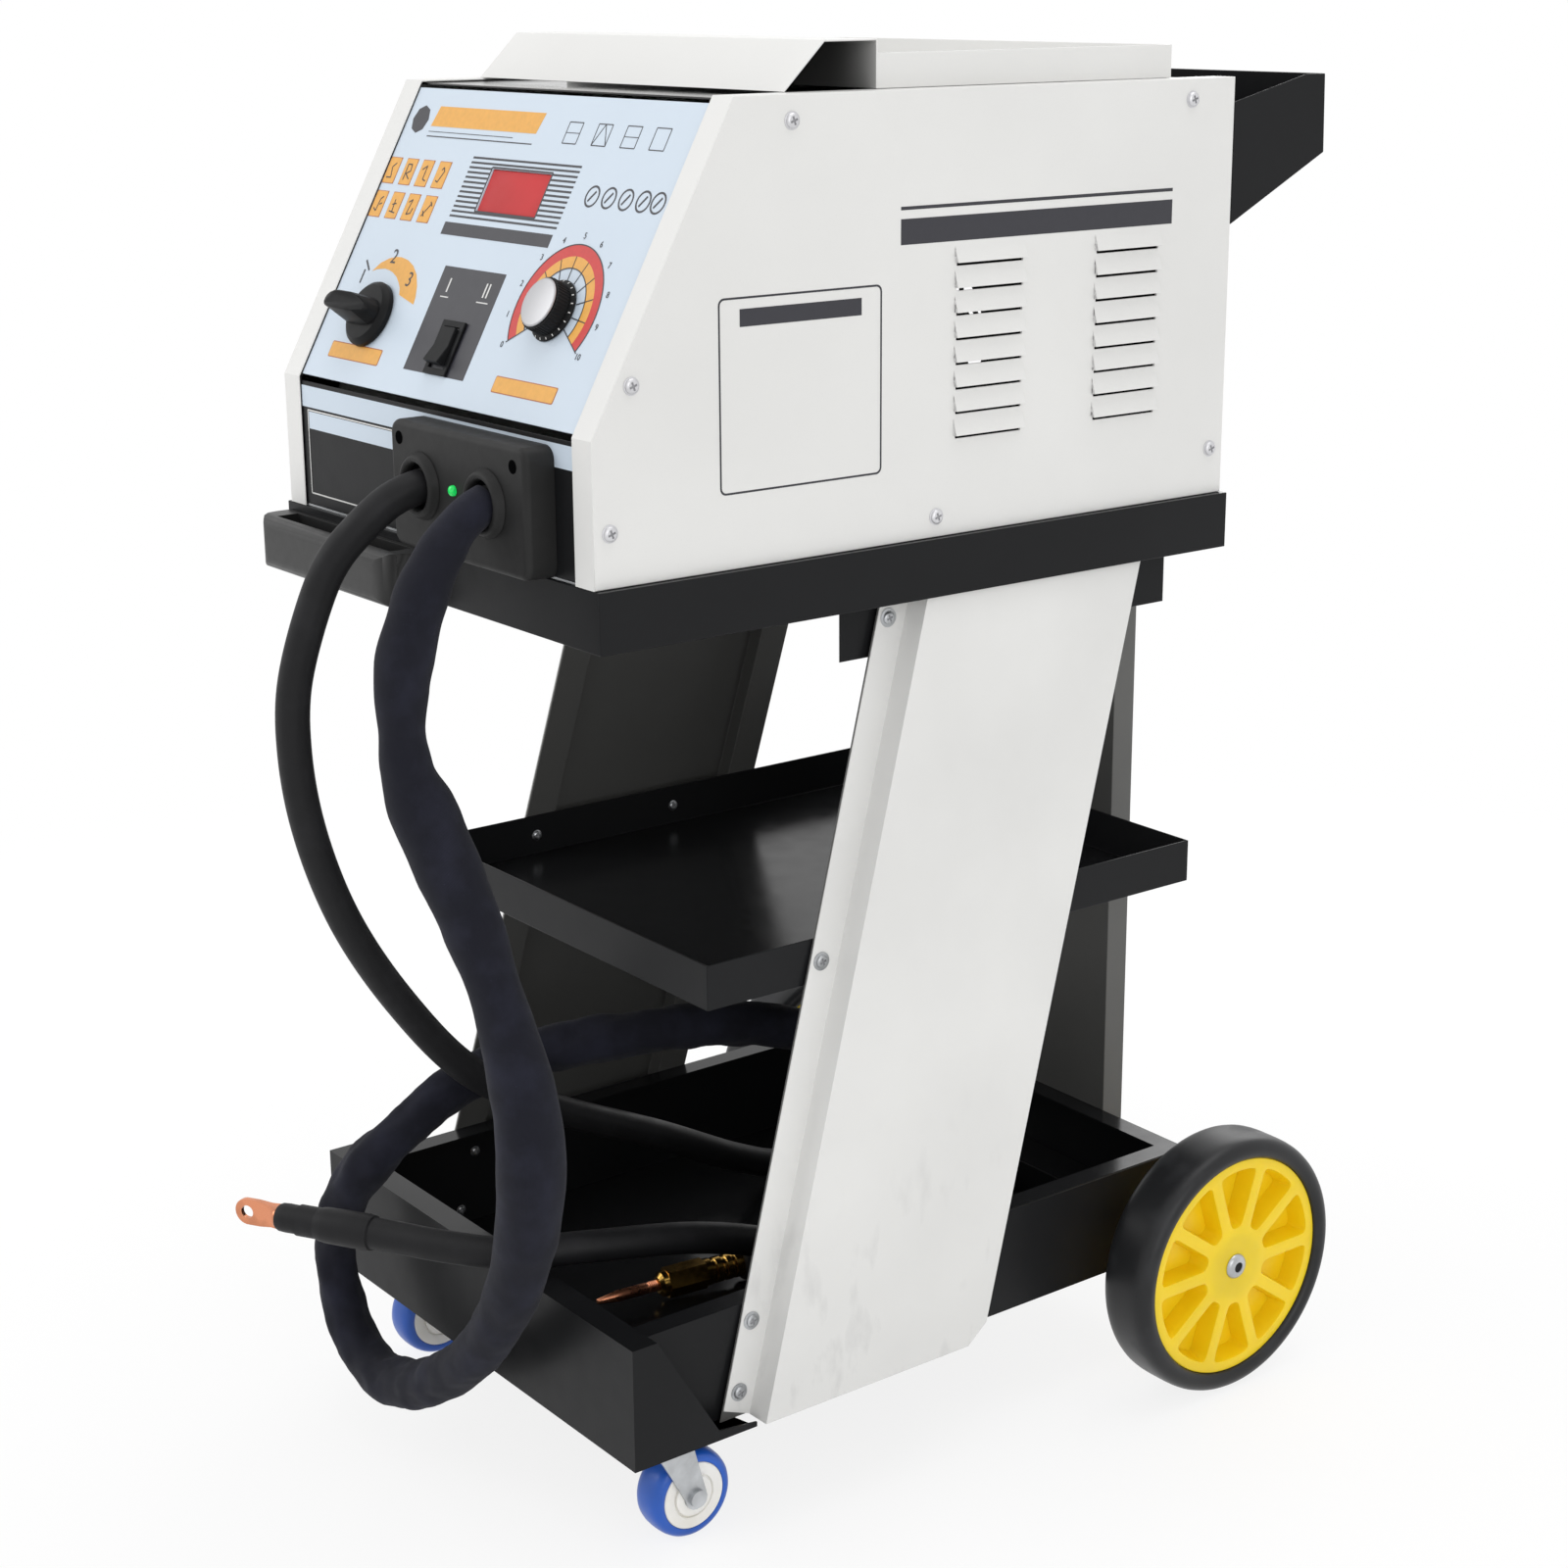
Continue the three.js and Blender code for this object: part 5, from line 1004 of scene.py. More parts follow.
class WELDER_OT_fasteners(bpy.types.Operator):
    """Screws of the case, the leg covers, the trays and the back panel"""

    bl_idname = "welder.fasteners"
    bl_label = "Fasteners"

    # Y and Z on the side panels
    CASE = ((-63.5, 961), (283.5, 963), (-187, 809), (-205, 720.5), (55.6, 700), (312, 718.7))
    # height above the foot of the leg, and how far behind its leaning front edge
    LEG = ((543, 9.0), (314, 9.0), (69, 9.0), (19, 10.5))
    # the foot of a leg cover's front edge, and how far the leg leans for each millimetre up
    FOOT_X, FOOT_Y, FOOT_Z = 196.2, -130, 88
    LEAN_IN, LEAN_BACK = 0.035, 0.28
    # X, Y and Z on the inside of the shelf's and the lower tray's walls
    TRAYS = ((179.8, -30, 402), (179.8, 100, 402), (179.8, 290, 402), (188.5, -92, 148),
             (188.5, -107, 101))
    # X and Z on the back panel, the first four round the fan
    BACK = ((-142.5, 723.5), (-37.5, 723.5), (-142.5, 828.5), (-37.5, 828.5),
            (-183, 703), (183, 703), (-183, 853), (183, 853), (40, 703))

    def execute(self, context):
        case, legs = Screws(5.0, 2.6, 5.8), Screws(4.6, 2.3, 6.6)
        trays, back = Screws(3.4, 1.8, 4.2), Screws(3.6, 1.9, 4.5)
        for x, z in self.BACK:
            back.add(placed(x, CASE_REAR, z, quarter(-1, "X")))
        for _side, sign in SIDES:
            out, inwards = quarter(sign, "Y"), quarter(-sign, "Y")
            for y, z in self.CASE:
                case.add(placed(sign * CASE_HALF, y, z, out))
            for rise, behind in self.LEG:
                x = self.FOOT_X - self.LEAN_IN * rise
                y = behind + self.LEAN_BACK * rise + self.FOOT_Y
                legs.add(placed(sign * x, y, self.FOOT_Z + rise, out))
            for x, y, z in self.TRAYS:
                trays.add(placed(sign * x, y, z, inwards))
        case.finish("case_screws", "bright zinc")
        legs.finish("leg_screws", "dull zinc")
        trays.finish("tray_screws", "zinc")
        back.finish("back_screws", "zinc")
        return {"FINISHED"}


class WELDER_OT_side_stripes(bpy.types.Operator):
    """Printed lines, bars and a framed label place on the case, with nothing written on them"""

    bl_idname = "welder.side_stripes"
    bl_label = "Side stripes"

    def execute(self, context):
        rise = sizes().print_height / MM
        parts = []
        for _side, sign in SIDES:
            turn = Matrix(((0, 0, sign), (sign, 0, 0), (0, 1, 0)))
            place = placed(sign * CASE_HALF, 0, 0, turn)
            low, high = (24, 267) if sign > 0 else (-267, -24)
            bars = [rectangle(low, high, 902, 904.2), rectangle(low, high, 880, 896.4)]
            if sign > 0:
                outer = rounded_rectangle(-121.5, 8.5, 734, 856.5, 4.5)
                inner = rounded_rectangle(-120.2, 7.2, 735.3, 855.2, 3.4)
                parts.append((pierced(outer, [inner], 0.02, rise), place))
                bars.append(rectangle(-105, -8.2, 838, 849))
            parts += [(plate(bar, 0.02, rise), place) for bar in bars]
        piece("side_stripes", gathered(parts), "ink")
        return {"FINISHED"}


def printed(name, outlines, coat, lift=0.0):
    """Thin printed shapes on the control panel."""
    low = PANEL_N + 0.02 + lift
    high = low + sizes().print_height / MM
    form = gathered((plate(outline, low, high), PANEL) for outline in outlines)
    return piece(name, form, coat)


def line(x0, y0, x1, y1, width):
    """The outline of a straight stroke."""
    half = width / 2 / math.hypot(x1 - x0, y1 - y0)
    nx, ny = -(y1 - y0) * half, (x1 - x0) * half
    return [(x0 + nx, y0 + ny), (x0 - nx, y0 - ny), (x1 - nx, y1 - ny), (x1 + nx, y1 + ny)]


def frame_outline(x0, x1, y0, y1, width):
    """Four strokes round a rectangle."""
    return [
        line(x0, y0, x1, y0, width), line(x1, y0, x1, y1, width),
        line(x1, y1, x0, y1, width), line(x0, y1, x0, y0, width),
    ]


class WELDER_OT_panel_prints(bpy.types.Operator):
    """Colour fields, stripes, blank signs and dial scales printed on the control panel"""

    bl_idname = "welder.panel_prints"
    bl_label = "Panel prints"

    # the selector's orange arc, from its thin end round to its broad one and back
    SELECTOR_ARC = (
        (-138, 84.2), (-131, 91), (-121.9, 95.1), (-114, 96.9), (-106.5, 97.2), (-97, 95.8),
        (-87.6, 92.5), (-78.6, 86.6), (-72, 78.5), (-68.3, 70.9), (-67.3, 65.6), (-90, 70.6),
        (-93, 75.5), (-97.3, 79.1), (-103, 82.8), (-110, 85.5), (-116, 86.8), (-122.3, 87.4),
        (-132.4, 86.2),
    )
    TILES = [(x, y) for y in (149.5, 124.0) for x in (-174, -151.5, -129.5, -107)]
    # eight plain marks for the tiles, as strokes inside a tile
    TILE_STROKES = (
        ((3, 4, 9, 4), (9, 4, 6, 12), (6, 12, 10, 15)),
        ((4, 3, 4, 15), (4, 15, 9, 15), (9, 15, 10, 10), (10, 10, 5, 8), (5, 8, 11, 4)),
        ((3, 12, 8, 15), (8, 15, 8, 5), (8, 5, 12, 4)),
        ((3, 5, 6, 4), (6, 4, 10, 12), (10, 12, 8, 15), (8, 15, 6, 13)),
        ((3, 6, 7, 4), (7, 4, 8, 13), (8, 13, 11, 15), (9, 9, 12, 10)),
        ((3, 5, 11, 4), (7, 4, 6, 14), (4, 10, 9, 11)),
        ((3, 13, 7, 15), (7, 15, 5, 4), (5, 4, 10, 5), (10, 5, 11, 9)),
        ((3, 4, 11, 14), (9, 15, 12, 12), (3, 8, 6, 4)),
    )
    # the timer's scale, in degrees from +X
    SCALE_START = 212.0
    SCALE_END = -31.0

    def execute(self, context):
        tiles = [rounded_rectangle(x, x + 14.5, y, y + 19, 1.5) for x, y in self.TILES]
        tiles += [rounded_rectangle(-150, -82, 19.5, 30, 1.2),
                  rounded_rectangle(67, 138, 18.5, 28.5, 1.2)]
        edges = [rectangle(x - 0.5, x + 15, y - 0.5, y + 19.5) for x, y in self.TILES]
        edges += [rounded_rectangle(-150.7, -81.3, 18.8, 30.7, 1.4),
                  rounded_rectangle(66.3, 138.7, 17.8, 29.2, 1.4)]
        printed("print_edges", edges, "rust")
        printed("orange_tiles", tiles, "orange", 0.13)
        title = rectangle(-140, -4, 194, 209, 3.0)
        printed("orange_fields", [title, self.SELECTOR_ARC], "orange")
        dark = []
        for i in range(13):
            y = 130.5 + i * 3.55
            spans = ((-68, -39.5), (35.5, 65)) if 134.5 < y < 169.5 else ((-68, 65),)
            dark += [rectangle(x0, x1, y, y + 1.5) for x0, x1 in spans]
        dark += frame_outline(-39.3, 35.3, 136, 168, 1.3)
        dark += [
            rectangle(-70, 64, 117.5, 126.5), rectangle(-47, 30, 21, 96),
            line(-140, 186.5, -4, 186.5, 0.8), line(-140, 190, -30, 190, 0.5),
            # the stroke at x -193.7 is painted shade of the gap along the panel's left edge; the
            # rest is print
            line(-193.7, 2, -193.7, 222, 1.4), line(-151, 91.5, -142.5, 84.5, 1.6),
        ]
        printed("dark_fields", dark, "ink")
        self.signs()
        self.timer_scale()
        self.rocker_marks()
        return {"FINISHED"}

    def signs(self):
        """Blank generic signs: outlined squares at the top and plain rounds below them."""
        strokes = []
        for x in (39, 73, 106, 138):
            strokes += frame_outline(x - 8, x + 8, 189, 204, 0.7)
        strokes += [line(65, 189, 73, 204, 0.7), line(73, 204, 81, 189, 0.7)]
        strokes += [line(31, 196.5, 47, 196.5, 0.5), line(98, 196.5, 114, 196.5, 0.5)]
        rounds = []
        for x in (90, 109, 128, 147, 163):
            rounds.append(arc_band(x, 155, 6.2, 7.6, 0, 360, 36))
            strokes.append(line(x - 3.2, 151.5, x + 2.6, 158.6, 1.6))
        rounds.append(disc_outline(-157, 198.5, 10.5, 8))
        printed("sign_strokes", strokes + rounds, "ink")
        tile_marks = [
            line(x + x0, y + y0, x + x1, y + y1, 0.9)
            for (x, y), marks in zip(self.TILES, self.TILE_STROKES) for x0, y0, x1, y1 in marks
        ]
        printed("tile_marks", tile_marks, "ink", 0.27)

    def timer_scale(self):
        ends = (self.SCALE_START, self.SCALE_END)
        printed("timer_red_band", [arc_band(*TIMER_XY, 37.5, 45.5, *ends)], "red")
        printed("timer_orange_band", [arc_band(*TIMER_XY, 29.5, 37.5, *ends)], "orange")
        step = (self.SCALE_END - self.SCALE_START) / 10
        angles = [math.radians(self.SCALE_START + step * i) for i in range(11)]
        marks = [
            line(*polar(21, a, *TIMER_XY), *polar(far, a, *TIMER_XY), 0.7)
            for a, far in zip(angles, (47.5, *[37.5] * 9, 47.5))
        ]
        marks += [arc_band(*TIMER_XY, 29.0, 29.8, *ends), arc_band(*TIMER_XY, 45.2, 46.0, *ends)]
        printed("timer_ticks", marks, "ink", 0.14)
        for i, a in enumerate(angles):
            self.numeral(str(i), *polar(51.5, a, *TIMER_XY), 6.0)
        for text, px, py in (("1", -148, 79), ("2", -116, 96.5), ("3", -85, 82)):
            self.numeral(text, px, py, 15.0)

    def numeral(self, text, x, y, height):
        """A plain number of the dial, laid on the panel."""
        curve = bpy.data.curves.new("numeral", "FONT")
        curve.body = text
        curve.size = height
        curve.align_x = "CENTER"
        curve.align_y = "CENTER"
        curve.extrude = 0.05
        holder = bpy.data.objects.new("numeral", curve)
        bpy.context.scene.collection.objects.link(holder)
        bpy.context.view_layer.update()
        mesh = bpy.data.meshes.new_from_object(holder)
        bpy.data.objects.remove(holder)
        form = bmesh.new()
        form.from_mesh(mesh)
        bpy.data.meshes.remove(mesh)
        bmesh.ops.remove_doubles(form, verts=form.verts, dist=SAME_POINT)
        bmesh.ops.translate(form, vec=(x, y, PANEL_N + 0.22), verts=form.verts)
        piece("numeral_%s_%d" % (text, round(x)), form, "ink", place=PANEL)

    def rocker_marks(self):
        marks = [
            line(-33, 78, -33, 88, 1.6), line(13, 78, 13, 88, 1.6), line(17, 78, 17, 88, 1.6),
            line(-38, 74.5, -28, 74.5, 0.8), line(8, 74.5, 22, 74.5, 0.8),
        ]
        printed("rocker_marks", marks, "pale", 0.14)


class WELDER_OT_case_front(bpy.types.Operator):
    """Painted front sheets, the blank lower label, display lens, outlet block, glands and handle"""

    bl_idname = "welder.case_front"
    bl_label = "Case front"

    def execute(self, context):
        folded("control_panel", "foil", 0.0003)
        folded("lower_front_panel", "black", 0.0003)
        folded("front_handle", "handle", sizes().rim, 0.004, 50)
        self.lower_label()
        lens = block((72.0, 30.0, 4.0), (-2, 152, PANEL_N - 0.8 - 2.0), 0.5)
        piece("display_lens", lens, "lens", "display_window", place=PANEL)
        self.outlet_block()
        self.glands()
        dome = turned([(0, -4), (3.5, -4), (3.5, 1.4), (3.1, 2.4), (2.0, 3.2), (0, 3.5)], 32)
        place = self.on_outlet((EARTH_X + TORCH_X) / 2, LAMP_Z)
        piece("power_lamp_dome", dome, "lamp", "power_lamp", place=place)
        return {"FINISHED"}

    def on_outlet(self, x, z):
        return placed(x, OUTLET_FACE, z, FORWARDS)

    def lower_label(self):
        """A blue film over the top of the lower sheet and a blank framed label at its left."""
        rise = 0.12
        front = placed(0, LOWER_SHEET_FACE, 0, FORWARDS)
        films = (rectangle(-175, 175, 757, 772), rectangle(-166, -14, 742, 754))
        film = gathered((plate(outline, 0.02, rise), front) for outline in films)
        piece("lower_blue_film", film, "foil")
        frame = frame_outline(-167, -13, 696, 755, 1.0)
        edge = gathered((plate(outline, 0.16, 0.16 + rise), front) for outline in frame)
        piece("lower_label_frame", edge, "pale")

    def outlet_block(self):
        """A moulded block with a domed face, and painted shade: dark discs for its two screw holes
        and a dark ring in each gland.
        """
        outline = rounded_rectangle(-13, 153, 686.2, 770, 9, 6)
        made = piece(
            "outlet_block_moulded", plate(outline, 215.5, -OUTLET_FACE, 4.5, 4), "moulding",
            "cable_outlet_block", place=placed(0, 0, 0, FORWARDS),
        )
        even_shading(made)
        # painted shade: flat dark discs where the screw holes and the gland hollows are
        hole_shades = [
            (turned([(0, 0.1), (4.4, 0.1), (4.4, 0.2), (0, 0.35)], 32), self.on_outlet(x, z))
            for x, z in ((-0.4, 758.5), (139, 757.5))
        ]
        hole_shades += [
            (turned([(11.6, 0.35), (15.4, 0.35), (15.4, 0.6), (11.6, 0.6)], 48),
             self.on_outlet(x, GLAND_Z))
            for x in (EARTH_X, TORCH_X)
        ]
        piece("outlet_screw_wells", gathered(hole_shades), "well")

    def glands(self):
        profile = [(15.0, 0.7), (22.4, 0.3), (22.3, 0.8), (21.6, 1.7), (21.0, 3.2), (20.4, 4.7),
                   (19.4, 5.9), (18.2, 6.4), (17.0, 6.1), (16.0, 5.2), (15.3, 3.6), (15.0, 1.8)]
        for name, x in (("earth", EARTH_X), ("torch", TORCH_X)):
            piece("gland_%s_lip" % name, turned(profile, 72), "moulding",
                  "gland_" + name, place=self.on_outlet(x, GLAND_Z))


def above(base, profile):
    """A profile with its heights measured from a base."""
    return [(r, base + h) for r, h in profile]


class WELDER_OT_knobs(bpy.types.Operator):
    """Selector, timer and rocker"""

    bl_idname = "welder.knobs"
    bl_label = "Knobs"

    def execute(self, context):
        self.selector()
        self.timer()
        folded("rocker", "knob", 0.0007, 0.002)
        folded("rocker_housing", "knob", 0.0005, 0.004)
        return {"FINISHED"}

    def selector(self):
        """A round base with a tall grip that narrows to a point at the left."""
        form = turned(above(KNOB_BASE, [
            (0, 0), (23.1, 0), (23.5, 0.6), (23.5, 3.6), (22.6, 5.4), (20.0, 7.4), (16, 8), (0, 8),
        ]), 72)
        lower = [(-35, -1.4), (-32, -3.2), (-26, -5.0), (-18, -6.2), (-10, -6.6), (6, -6.6),
                 (13, -5.8), (18, -3.0)]
        outline = [*lower, (19.4, 0), *[(x, -y) for x, y in reversed(lower)]]
        grip = plate(outline, KNOB_BASE + 2, KNOB_BASE + 26, 0.9)
        for vert in grip.verts:
            far = max(0.0, -vert.co.x - 10.0) / 25.0
            near = max(0.0, vert.co.x - 6.0) / 13.0
            lift = max(0.0, vert.co.z - KNOB_BASE - 2.0) / 24.0
            vert.co.z += (1 - lift) * 14.0 * far - lift * (6.0 * far**1.6 + 9.0 * near**2)
            vert.co.y *= 1.0 + 0.75 * (1 - lift) * (1 - min(1.0, far))
        gather(form, grip)
        piece("selector_grip", form, "knob", "selector_knob", "selector", 26,
              PANEL @ Matrix.Translation((*SELECTOR_XY, 0)))

    def timer(self):
        """A ribbed knob on a tilted skirt with its ring of ticks, and a bright cap on top."""
        place = PANEL @ Matrix.Translation((*TIMER_XY, 0))
        form = turned(above(KNOB_BASE, [
            (0, 0), (20.6, 0), (21, 0.5), (20.6, 1.6), (19.0, 2.6), (17.0, 3.0), (0, 3.0),
        ]), 72)
        ribs = [polar((17.5, 18.0)[i % 2], 2 * math.pi * i / 96) for i in range(96)]
        gather(form, plate(ribs, KNOB_BASE + 2, KNOB_BASE + 12.5, 0.7))
        piece("timer_grip", form, "knob", "timer_knob", "timer", place=place)
        cap = turned(above(KNOB_BASE + 12.8, [
            (0, 0), (16.2, 0), (16.5, 0.3), (16.5, 0.8), (16.0, 1.3), (15.2, 1.5), (0, 1.5),
        ]), 72)
        piece("timer_spun_cap", cap, "spun", "timer_cap", "timer", place=place)
        slope = (Matrix.Translation((19.8, 0, KNOB_BASE + 2.14))
                 @ Matrix.Rotation(0.56, 4, "Y"))
        ticks = gathered(
            (block((1.5, 0.7, 0.16)), Matrix.Rotation(2 * math.pi * i / 20, 4, "Z") @ slope)
            for i in range(20)
        )
        piece("timer_skirt_marks", ticks, "pale", body="timer", place=place)


class WELDER_OT_rear_wheels(bpy.types.Operator):
    """Solid tyres on spoked hubs, and the axle's push-on caps"""

    bl_idname = "welder.rear_wheels"
    bl_label = "Rear wheels"

    TYRE = [(86.3, 19.4), (87.2, 20.8), (89.2, 22.2), (91.6, 22.9), (94.0, 22.9), (96.4, 22.1),
            (98.6, 20.5), (100.2, 18.2), (101.3, 15.2), (101.8, 11.4), (102.0, 7.0), (102.0, 1.0)]
    CAP = [(6.15, 18.4), (9.6, 18.4), (9.8, 19.2), (9.0, 20.8), (7.2, 21.8), (4.1, 22.2),
           (3.9, 21.5), (6.15, 21.4)]
    SPOKES = 10
    SPOKE_HALF = 5.0
    WEB_FACE = 2.4
    HUB_FACE = 18.7
    # a hollow's middle from the axle, its inner and outer ends, and its size at the web
    HOLLOW_REACH = 56
    HOLLOW_ENDS = (31.5, 78.2)
    DRAFT = 0.86

    def execute(self, context):
        for side, sign in SIDES:
            place = placed(sign * WHEEL_X, AXLE_Y, AXLE_Z, quarter(sign, "Y"))
            body = "rear_wheel_" + side
            piece("tyre_%s_solid" % side, turned(mirrored(self.TYRE), 128), "tyre",
                  "tyre_" + side, body, 50, place)
            piece("hub_%s_spoked" % side, self.hub(), "nylon",
                  "wheel_hub_" + side, body, place=place)
            piece("axle_cap_%s_pressed" % side, turned(self.CAP, 40), "zinc",
                  "axle_cap_" + side, place=place)
        return {"FINISHED"}

    def hub(self):
        """A web between two faces with drafted hollows, leaving rim, spokes and boss."""
        form = turned(
            [(6.4, -23.4), (24.4, -23.4), (25.2, -22.8), (25.6, -18.2), (25.6, -2.6), (85.6, -2.6),
             (85.6, 2.6), (25.6, 2.6), (25.6, 18.2), (24.6, 18.6), (6.4, 18.6)], 96,
        )
        middles = [2 * math.pi * i / self.SPOKES for i in range(self.SPOKES)]
        holes = [disc_outline(0, 0, 6.6), *[self.hollow(middle) for middle in middles]]
        centres = [Vector(polar(self.HOLLOW_REACH, middle)) for middle in middles]
        for side in (-1, 1):
            outline = disc_outline(0, 0, 86.0, 120)
            face = pierced(outline, holes, self.WEB_FACE, self.HUB_FACE)
            for vert in face.verts:
                spot = vert.co.xy
                if vert.co.z < 3.0 and 28.0 < spot.length < 80.0:
                    centre = min(centres, key=lambda c: (spot - c).length)
                    vert.co.xy = centre + (spot - centre) * self.DRAFT
            rim = [e for e in face.edges if e.calc_face_angle(0.0) > 1.0
                   and all(v.co.z > 18.0 for v in e.verts)]
            bevel(face, rim, 0.8, 3)
            gather(form, face, Matrix.Diagonal((1, 1, side, 1)))
        return form

    def hollow(self, middle):
        """The outline of one hollow between two spokes, its corners rounded by averaging."""
        corners = []
        inner, outer = self.HOLLOW_ENDS
        for reach, turns in ((outer, (-1, -0.5, 0, 0.5, 1)), (inner, (1, 0, -1))):
            swing = math.pi / self.SPOKES - math.asin(self.SPOKE_HALF / reach)
            corners += [Vector(polar(reach, middle + swing * turn)) for turn in turns]
        points = []
        for i, corner in enumerate(corners):
            gap = corner - corners[i - 1]
            count = max(1, round(gap.length / 3.2))
            points += [corners[i - 1] + gap * k / count for k in range(count)]
        for _pass in range(2):
            last = len(points)
            points = [
                (points[i - 1] + points[i] * 2 + points[(i + 1) % last]) / 4 for i in range(last)
            ]
        return [(p.x, p.y) for p in points]


class WELDER_OT_casters(bpy.types.Operator):
    """Swivel casters: plate, fork, grey core and blue tread"""

    bl_idname = "welder.casters"
    bl_label = "Casters"

    TREAD = [(21.5, 11.6), (24.9, 11.8), (25.0, 13.4), (26.4, 13.8), (28.4, 13.5), (30.4, 12.2),
             (31.9, 9.8), (32.7, 6.4), (33.0, 2.4)]
    CORE = [(4.4, 14.4), (14.2, 14.4), (14.8, 14.1), (15.0, 11.4), (16.4, 11.4), (16.6, 13.6),
            (17.2, 14.0), (24.0, 13.9), (24.6, 13.4), (24.7, 11.7), (21.2, 11.5)]
    PLATE_UNDER = 85.2

    def execute(self, context):
        bolts = []
        under = Matrix.Rotation(math.pi, 3, "X")
        for side, sign in SIDES:
            folded("caster_plate_" + side, "zinc", 0.0005, 0.004)
            folded("caster_fork_" + side, "zinc", 0.0006)
            place = placed(sign * CASTER_X, CASTER_Y, CASTER_Z, quarter(sign, "Y"))
            body = "caster_wheel_" + side
            piece("caster_tread_%s_blue" % side, turned(mirrored(self.TREAD), 96), "blue",
                  "caster_tread_" + side, body, 50, place)
            piece("caster_core_%s_turned" % side, turned(mirrored(self.CORE), 80), "core",
                  "caster_core_" + side, body, place=place)
            for dx, dy in product((-24, 24), (-17, 17)):
                down = placed(sign * CASTER_X + dx, KINGPIN_Y + dy, self.PLATE_UNDER, under)
                bolts.append((plate(disc_outline(0, 0, 5.2, 6), 0.0, 3.2, 0.4, 1), down))
        piece("caster_plate_bolts", gathered(bolts), "zinc")
        return {"FINISHED"}


class WELDER_OT_inside(bpy.types.Operator):
    """Finishes for the axle and the pieces inside and behind the case"""

    bl_idname = "welder.inside"
    bl_label = "Inside and back"

    COATS = {
        "rear_axle": "black", "base_pan": "zinc", "back_panel": "black",
        "mains_gland": "moulding", "transformer_core": "laminate",
        "transformer_coil": "winding", "fan_frame": "moulding", "fan_blades": "moulding",
        "control_board": "board", "selector_switch": "core", "timer_pot": "zinc",
    }

    def execute(self, context):
        for node, coat in self.COATS.items():
            mesh = NODES[node].data
            mesh.materials.clear()
            mesh.materials.append(finish(coat))
        return {"FINISHED"}


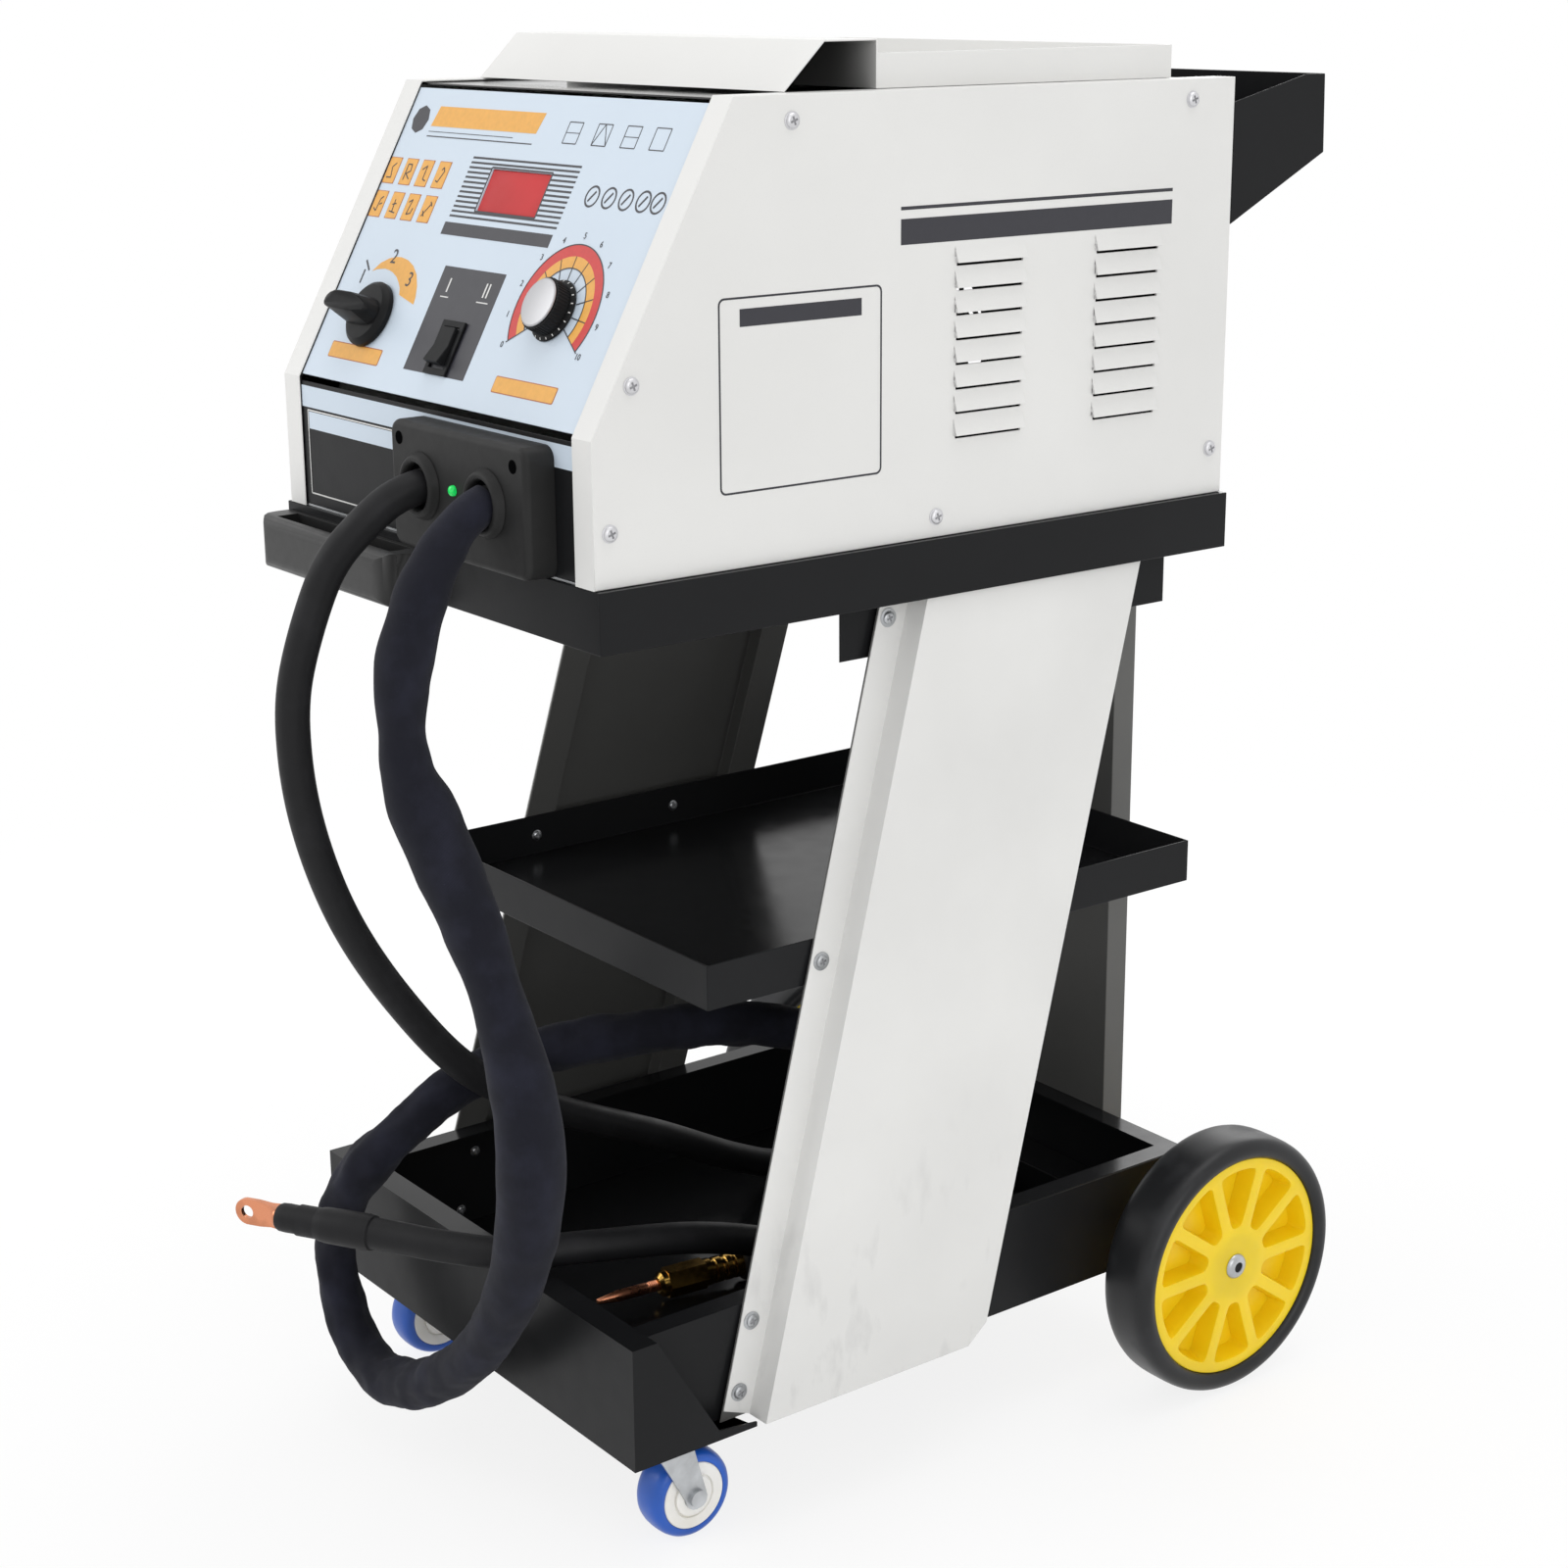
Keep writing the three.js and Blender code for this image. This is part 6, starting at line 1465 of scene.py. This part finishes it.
class WELDER_OT_stage(bpy.types.Operator):
    """Pale floor, soft studio light and the camera"""

    bl_idname = "welder.stage"
    bl_label = "Stage"

    # place in metres, size and power
    LAMPS = {
        "key_light": ((-2.6, -3.4, 3.2), 3.0, 56),
        "side_light": ((4.2, -1.4, 1.9), 2.6, 34),
        "top_light": ((0.4, 0.6, 4.2), 2.8, 42),
        "back_light": ((-2.2, 4.0, 2.6), 2.4, 40),
    }
    # metres from the middle over which the floor turns from shaded to white, and the least white
    FLOOR_FADE = (0.45, 1.7)
    FLOOR_WHITE = 0.84
    # the photo's camera: place, focal length in its pixels, and the axes of its picture
    EYE = (1587.2, -1128.1, 1048.5)
    FOCAL = 2830.0
    PICTURE = 1600.0
    SENSOR = 36.0
    RIGHT = (0.60602839, 0.79541895, -0.00618836)
    UP = (-0.21982652, 0.17495211, 0.95972291)
    AHEAD = Vector((-0.76446445, 0.58025896, -0.28088012))

    def execute(self, context):
        self.floor()
        self.world(context)
        for name, (place, size, power) in self.LAMPS.items():
            data = bpy.data.lights.new(name, "AREA")
            data.size = size
            data.energy = power
            made = bpy.data.objects.new(name, data)
            context.scene.collection.objects.link(made)
            made.location = place
            aim = Vector((0, 0, 0.5)) - made.location
            made.rotation_euler = aim.to_track_quat("-Z", "Y").to_euler()
        self.camera(context)
        context.scene.view_settings.view_transform = "Standard"
        return {"FINISHED"}

    def floor(self):
        """A floor that looks white and still takes the object's shadow."""
        form = bmesh.new()
        bmesh.ops.create_circle(form, cap_ends=True, segments=96, radius=30.0)
        base = linear(0.97, 0.97, 0.97)
        surface = Surface("pale_floor", base, 0.75)
        brighter = linear(0.975, 0.975, 0.975)
        surface.set("Base Color", surface.mix(base, brighter, surface.noise(2.0, 3.0)))
        reach = surface.node("ShaderNodeVectorMath", {"operation": "LENGTH"}, {0: surface.point})
        far = surface.ramp(Value(surface, reach.outputs["Value"]), *self.FLOOR_FADE)
        white = far.math("MAXIMUM", far, self.FLOOR_WHITE)
        glow = surface.node("ShaderNodeEmission", None, {"Color": WHITE, "Strength": 1.0})
        surface.blend(surface.seen() * white, surface.shader.outputs[0], glow.outputs[0],
                      "Material Output")
        whole_mesh("studio_floor", form, surface.material)

    def world(self, context):
        """White to look at, softer as light."""
        world = bpy.data.worlds.new("studio")
        context.scene.world = world
        world.use_nodes = True
        nodes = Nodes(world.node_tree)
        light = nodes.tree.nodes["Background"]
        nodes.feed(light.inputs["Color"], WHITE)
        nodes.feed(light.inputs["Strength"], 0.72)
        white = nodes.node("ShaderNodeBackground", None, {"Color": WHITE, "Strength": 1.0})
        nodes.blend(nodes.seen(), light.outputs[0], white.outputs[0], "World Output")

    def camera(self, context):
        data = bpy.data.cameras.new("camera")
        data.sensor_width = self.SENSOR
        data.lens = self.FOCAL / self.PICTURE * self.SENSOR
        data.clip_end = 100.0
        made = bpy.data.objects.new("camera", data)
        context.scene.collection.objects.link(made)
        turn = Matrix((self.RIGHT, self.UP, -self.AHEAD)).transposed().to_4x4()
        made.matrix_world = Matrix.Translation(at(*self.EYE)) @ turn
        context.scene.camera = made


class WELDER_PT_parts(bpy.types.Panel):
    """Lists the welder's groups of pieces in the sidebar"""

    bl_idname = "WELDER_PT_parts"
    bl_label = "Spot Welder"
    bl_space_type = "VIEW_3D"
    bl_region_type = "UI"
    bl_category = "Welder"

    def draw(self, context):
        layout = self.layout
        for operator in OPERATORS:
            layout.operator(operator.bl_idname)
        for settings in (context.scene.welder_sizes, context.scene.welder_colours):
            box = layout.box()
            for key in settings.bl_rna.properties.keys():
                if key not in ("rna_type", "name"):
                    box.prop(settings, key)


OPERATORS = (
    WELDER_OT_stage,
    WELDER_OT_cables,
    WELDER_OT_sheet_metal,
    WELDER_OT_fasteners,
    WELDER_OT_side_stripes,
    WELDER_OT_case_front,
    WELDER_OT_panel_prints,
    WELDER_OT_knobs,
    WELDER_OT_rear_wheels,
    WELDER_OT_casters,
    WELDER_OT_inside,
)
CLASSES = (WELDER_PG_sizes, WELDER_PG_colours, *OPERATORS, WELDER_PT_parts)


def register():
    for cls in CLASSES:
        bpy.utils.register_class(cls)
    bpy.types.Scene.welder_sizes = bpy.props.PointerProperty(type=WELDER_PG_sizes)
    bpy.types.Scene.welder_colours = bpy.props.PointerProperty(type=WELDER_PG_colours)


def unregister():
    del bpy.types.Scene.welder_colours
    del bpy.types.Scene.welder_sizes
    for cls in reversed(CLASSES):
        bpy.utils.unregister_class(cls)


def main():
    register()
    for operator in OPERATORS:
        group, name = operator.bl_idname.split(".")
        getattr(getattr(bpy.ops, group), name)()


if __name__ == "__main__":
    main()
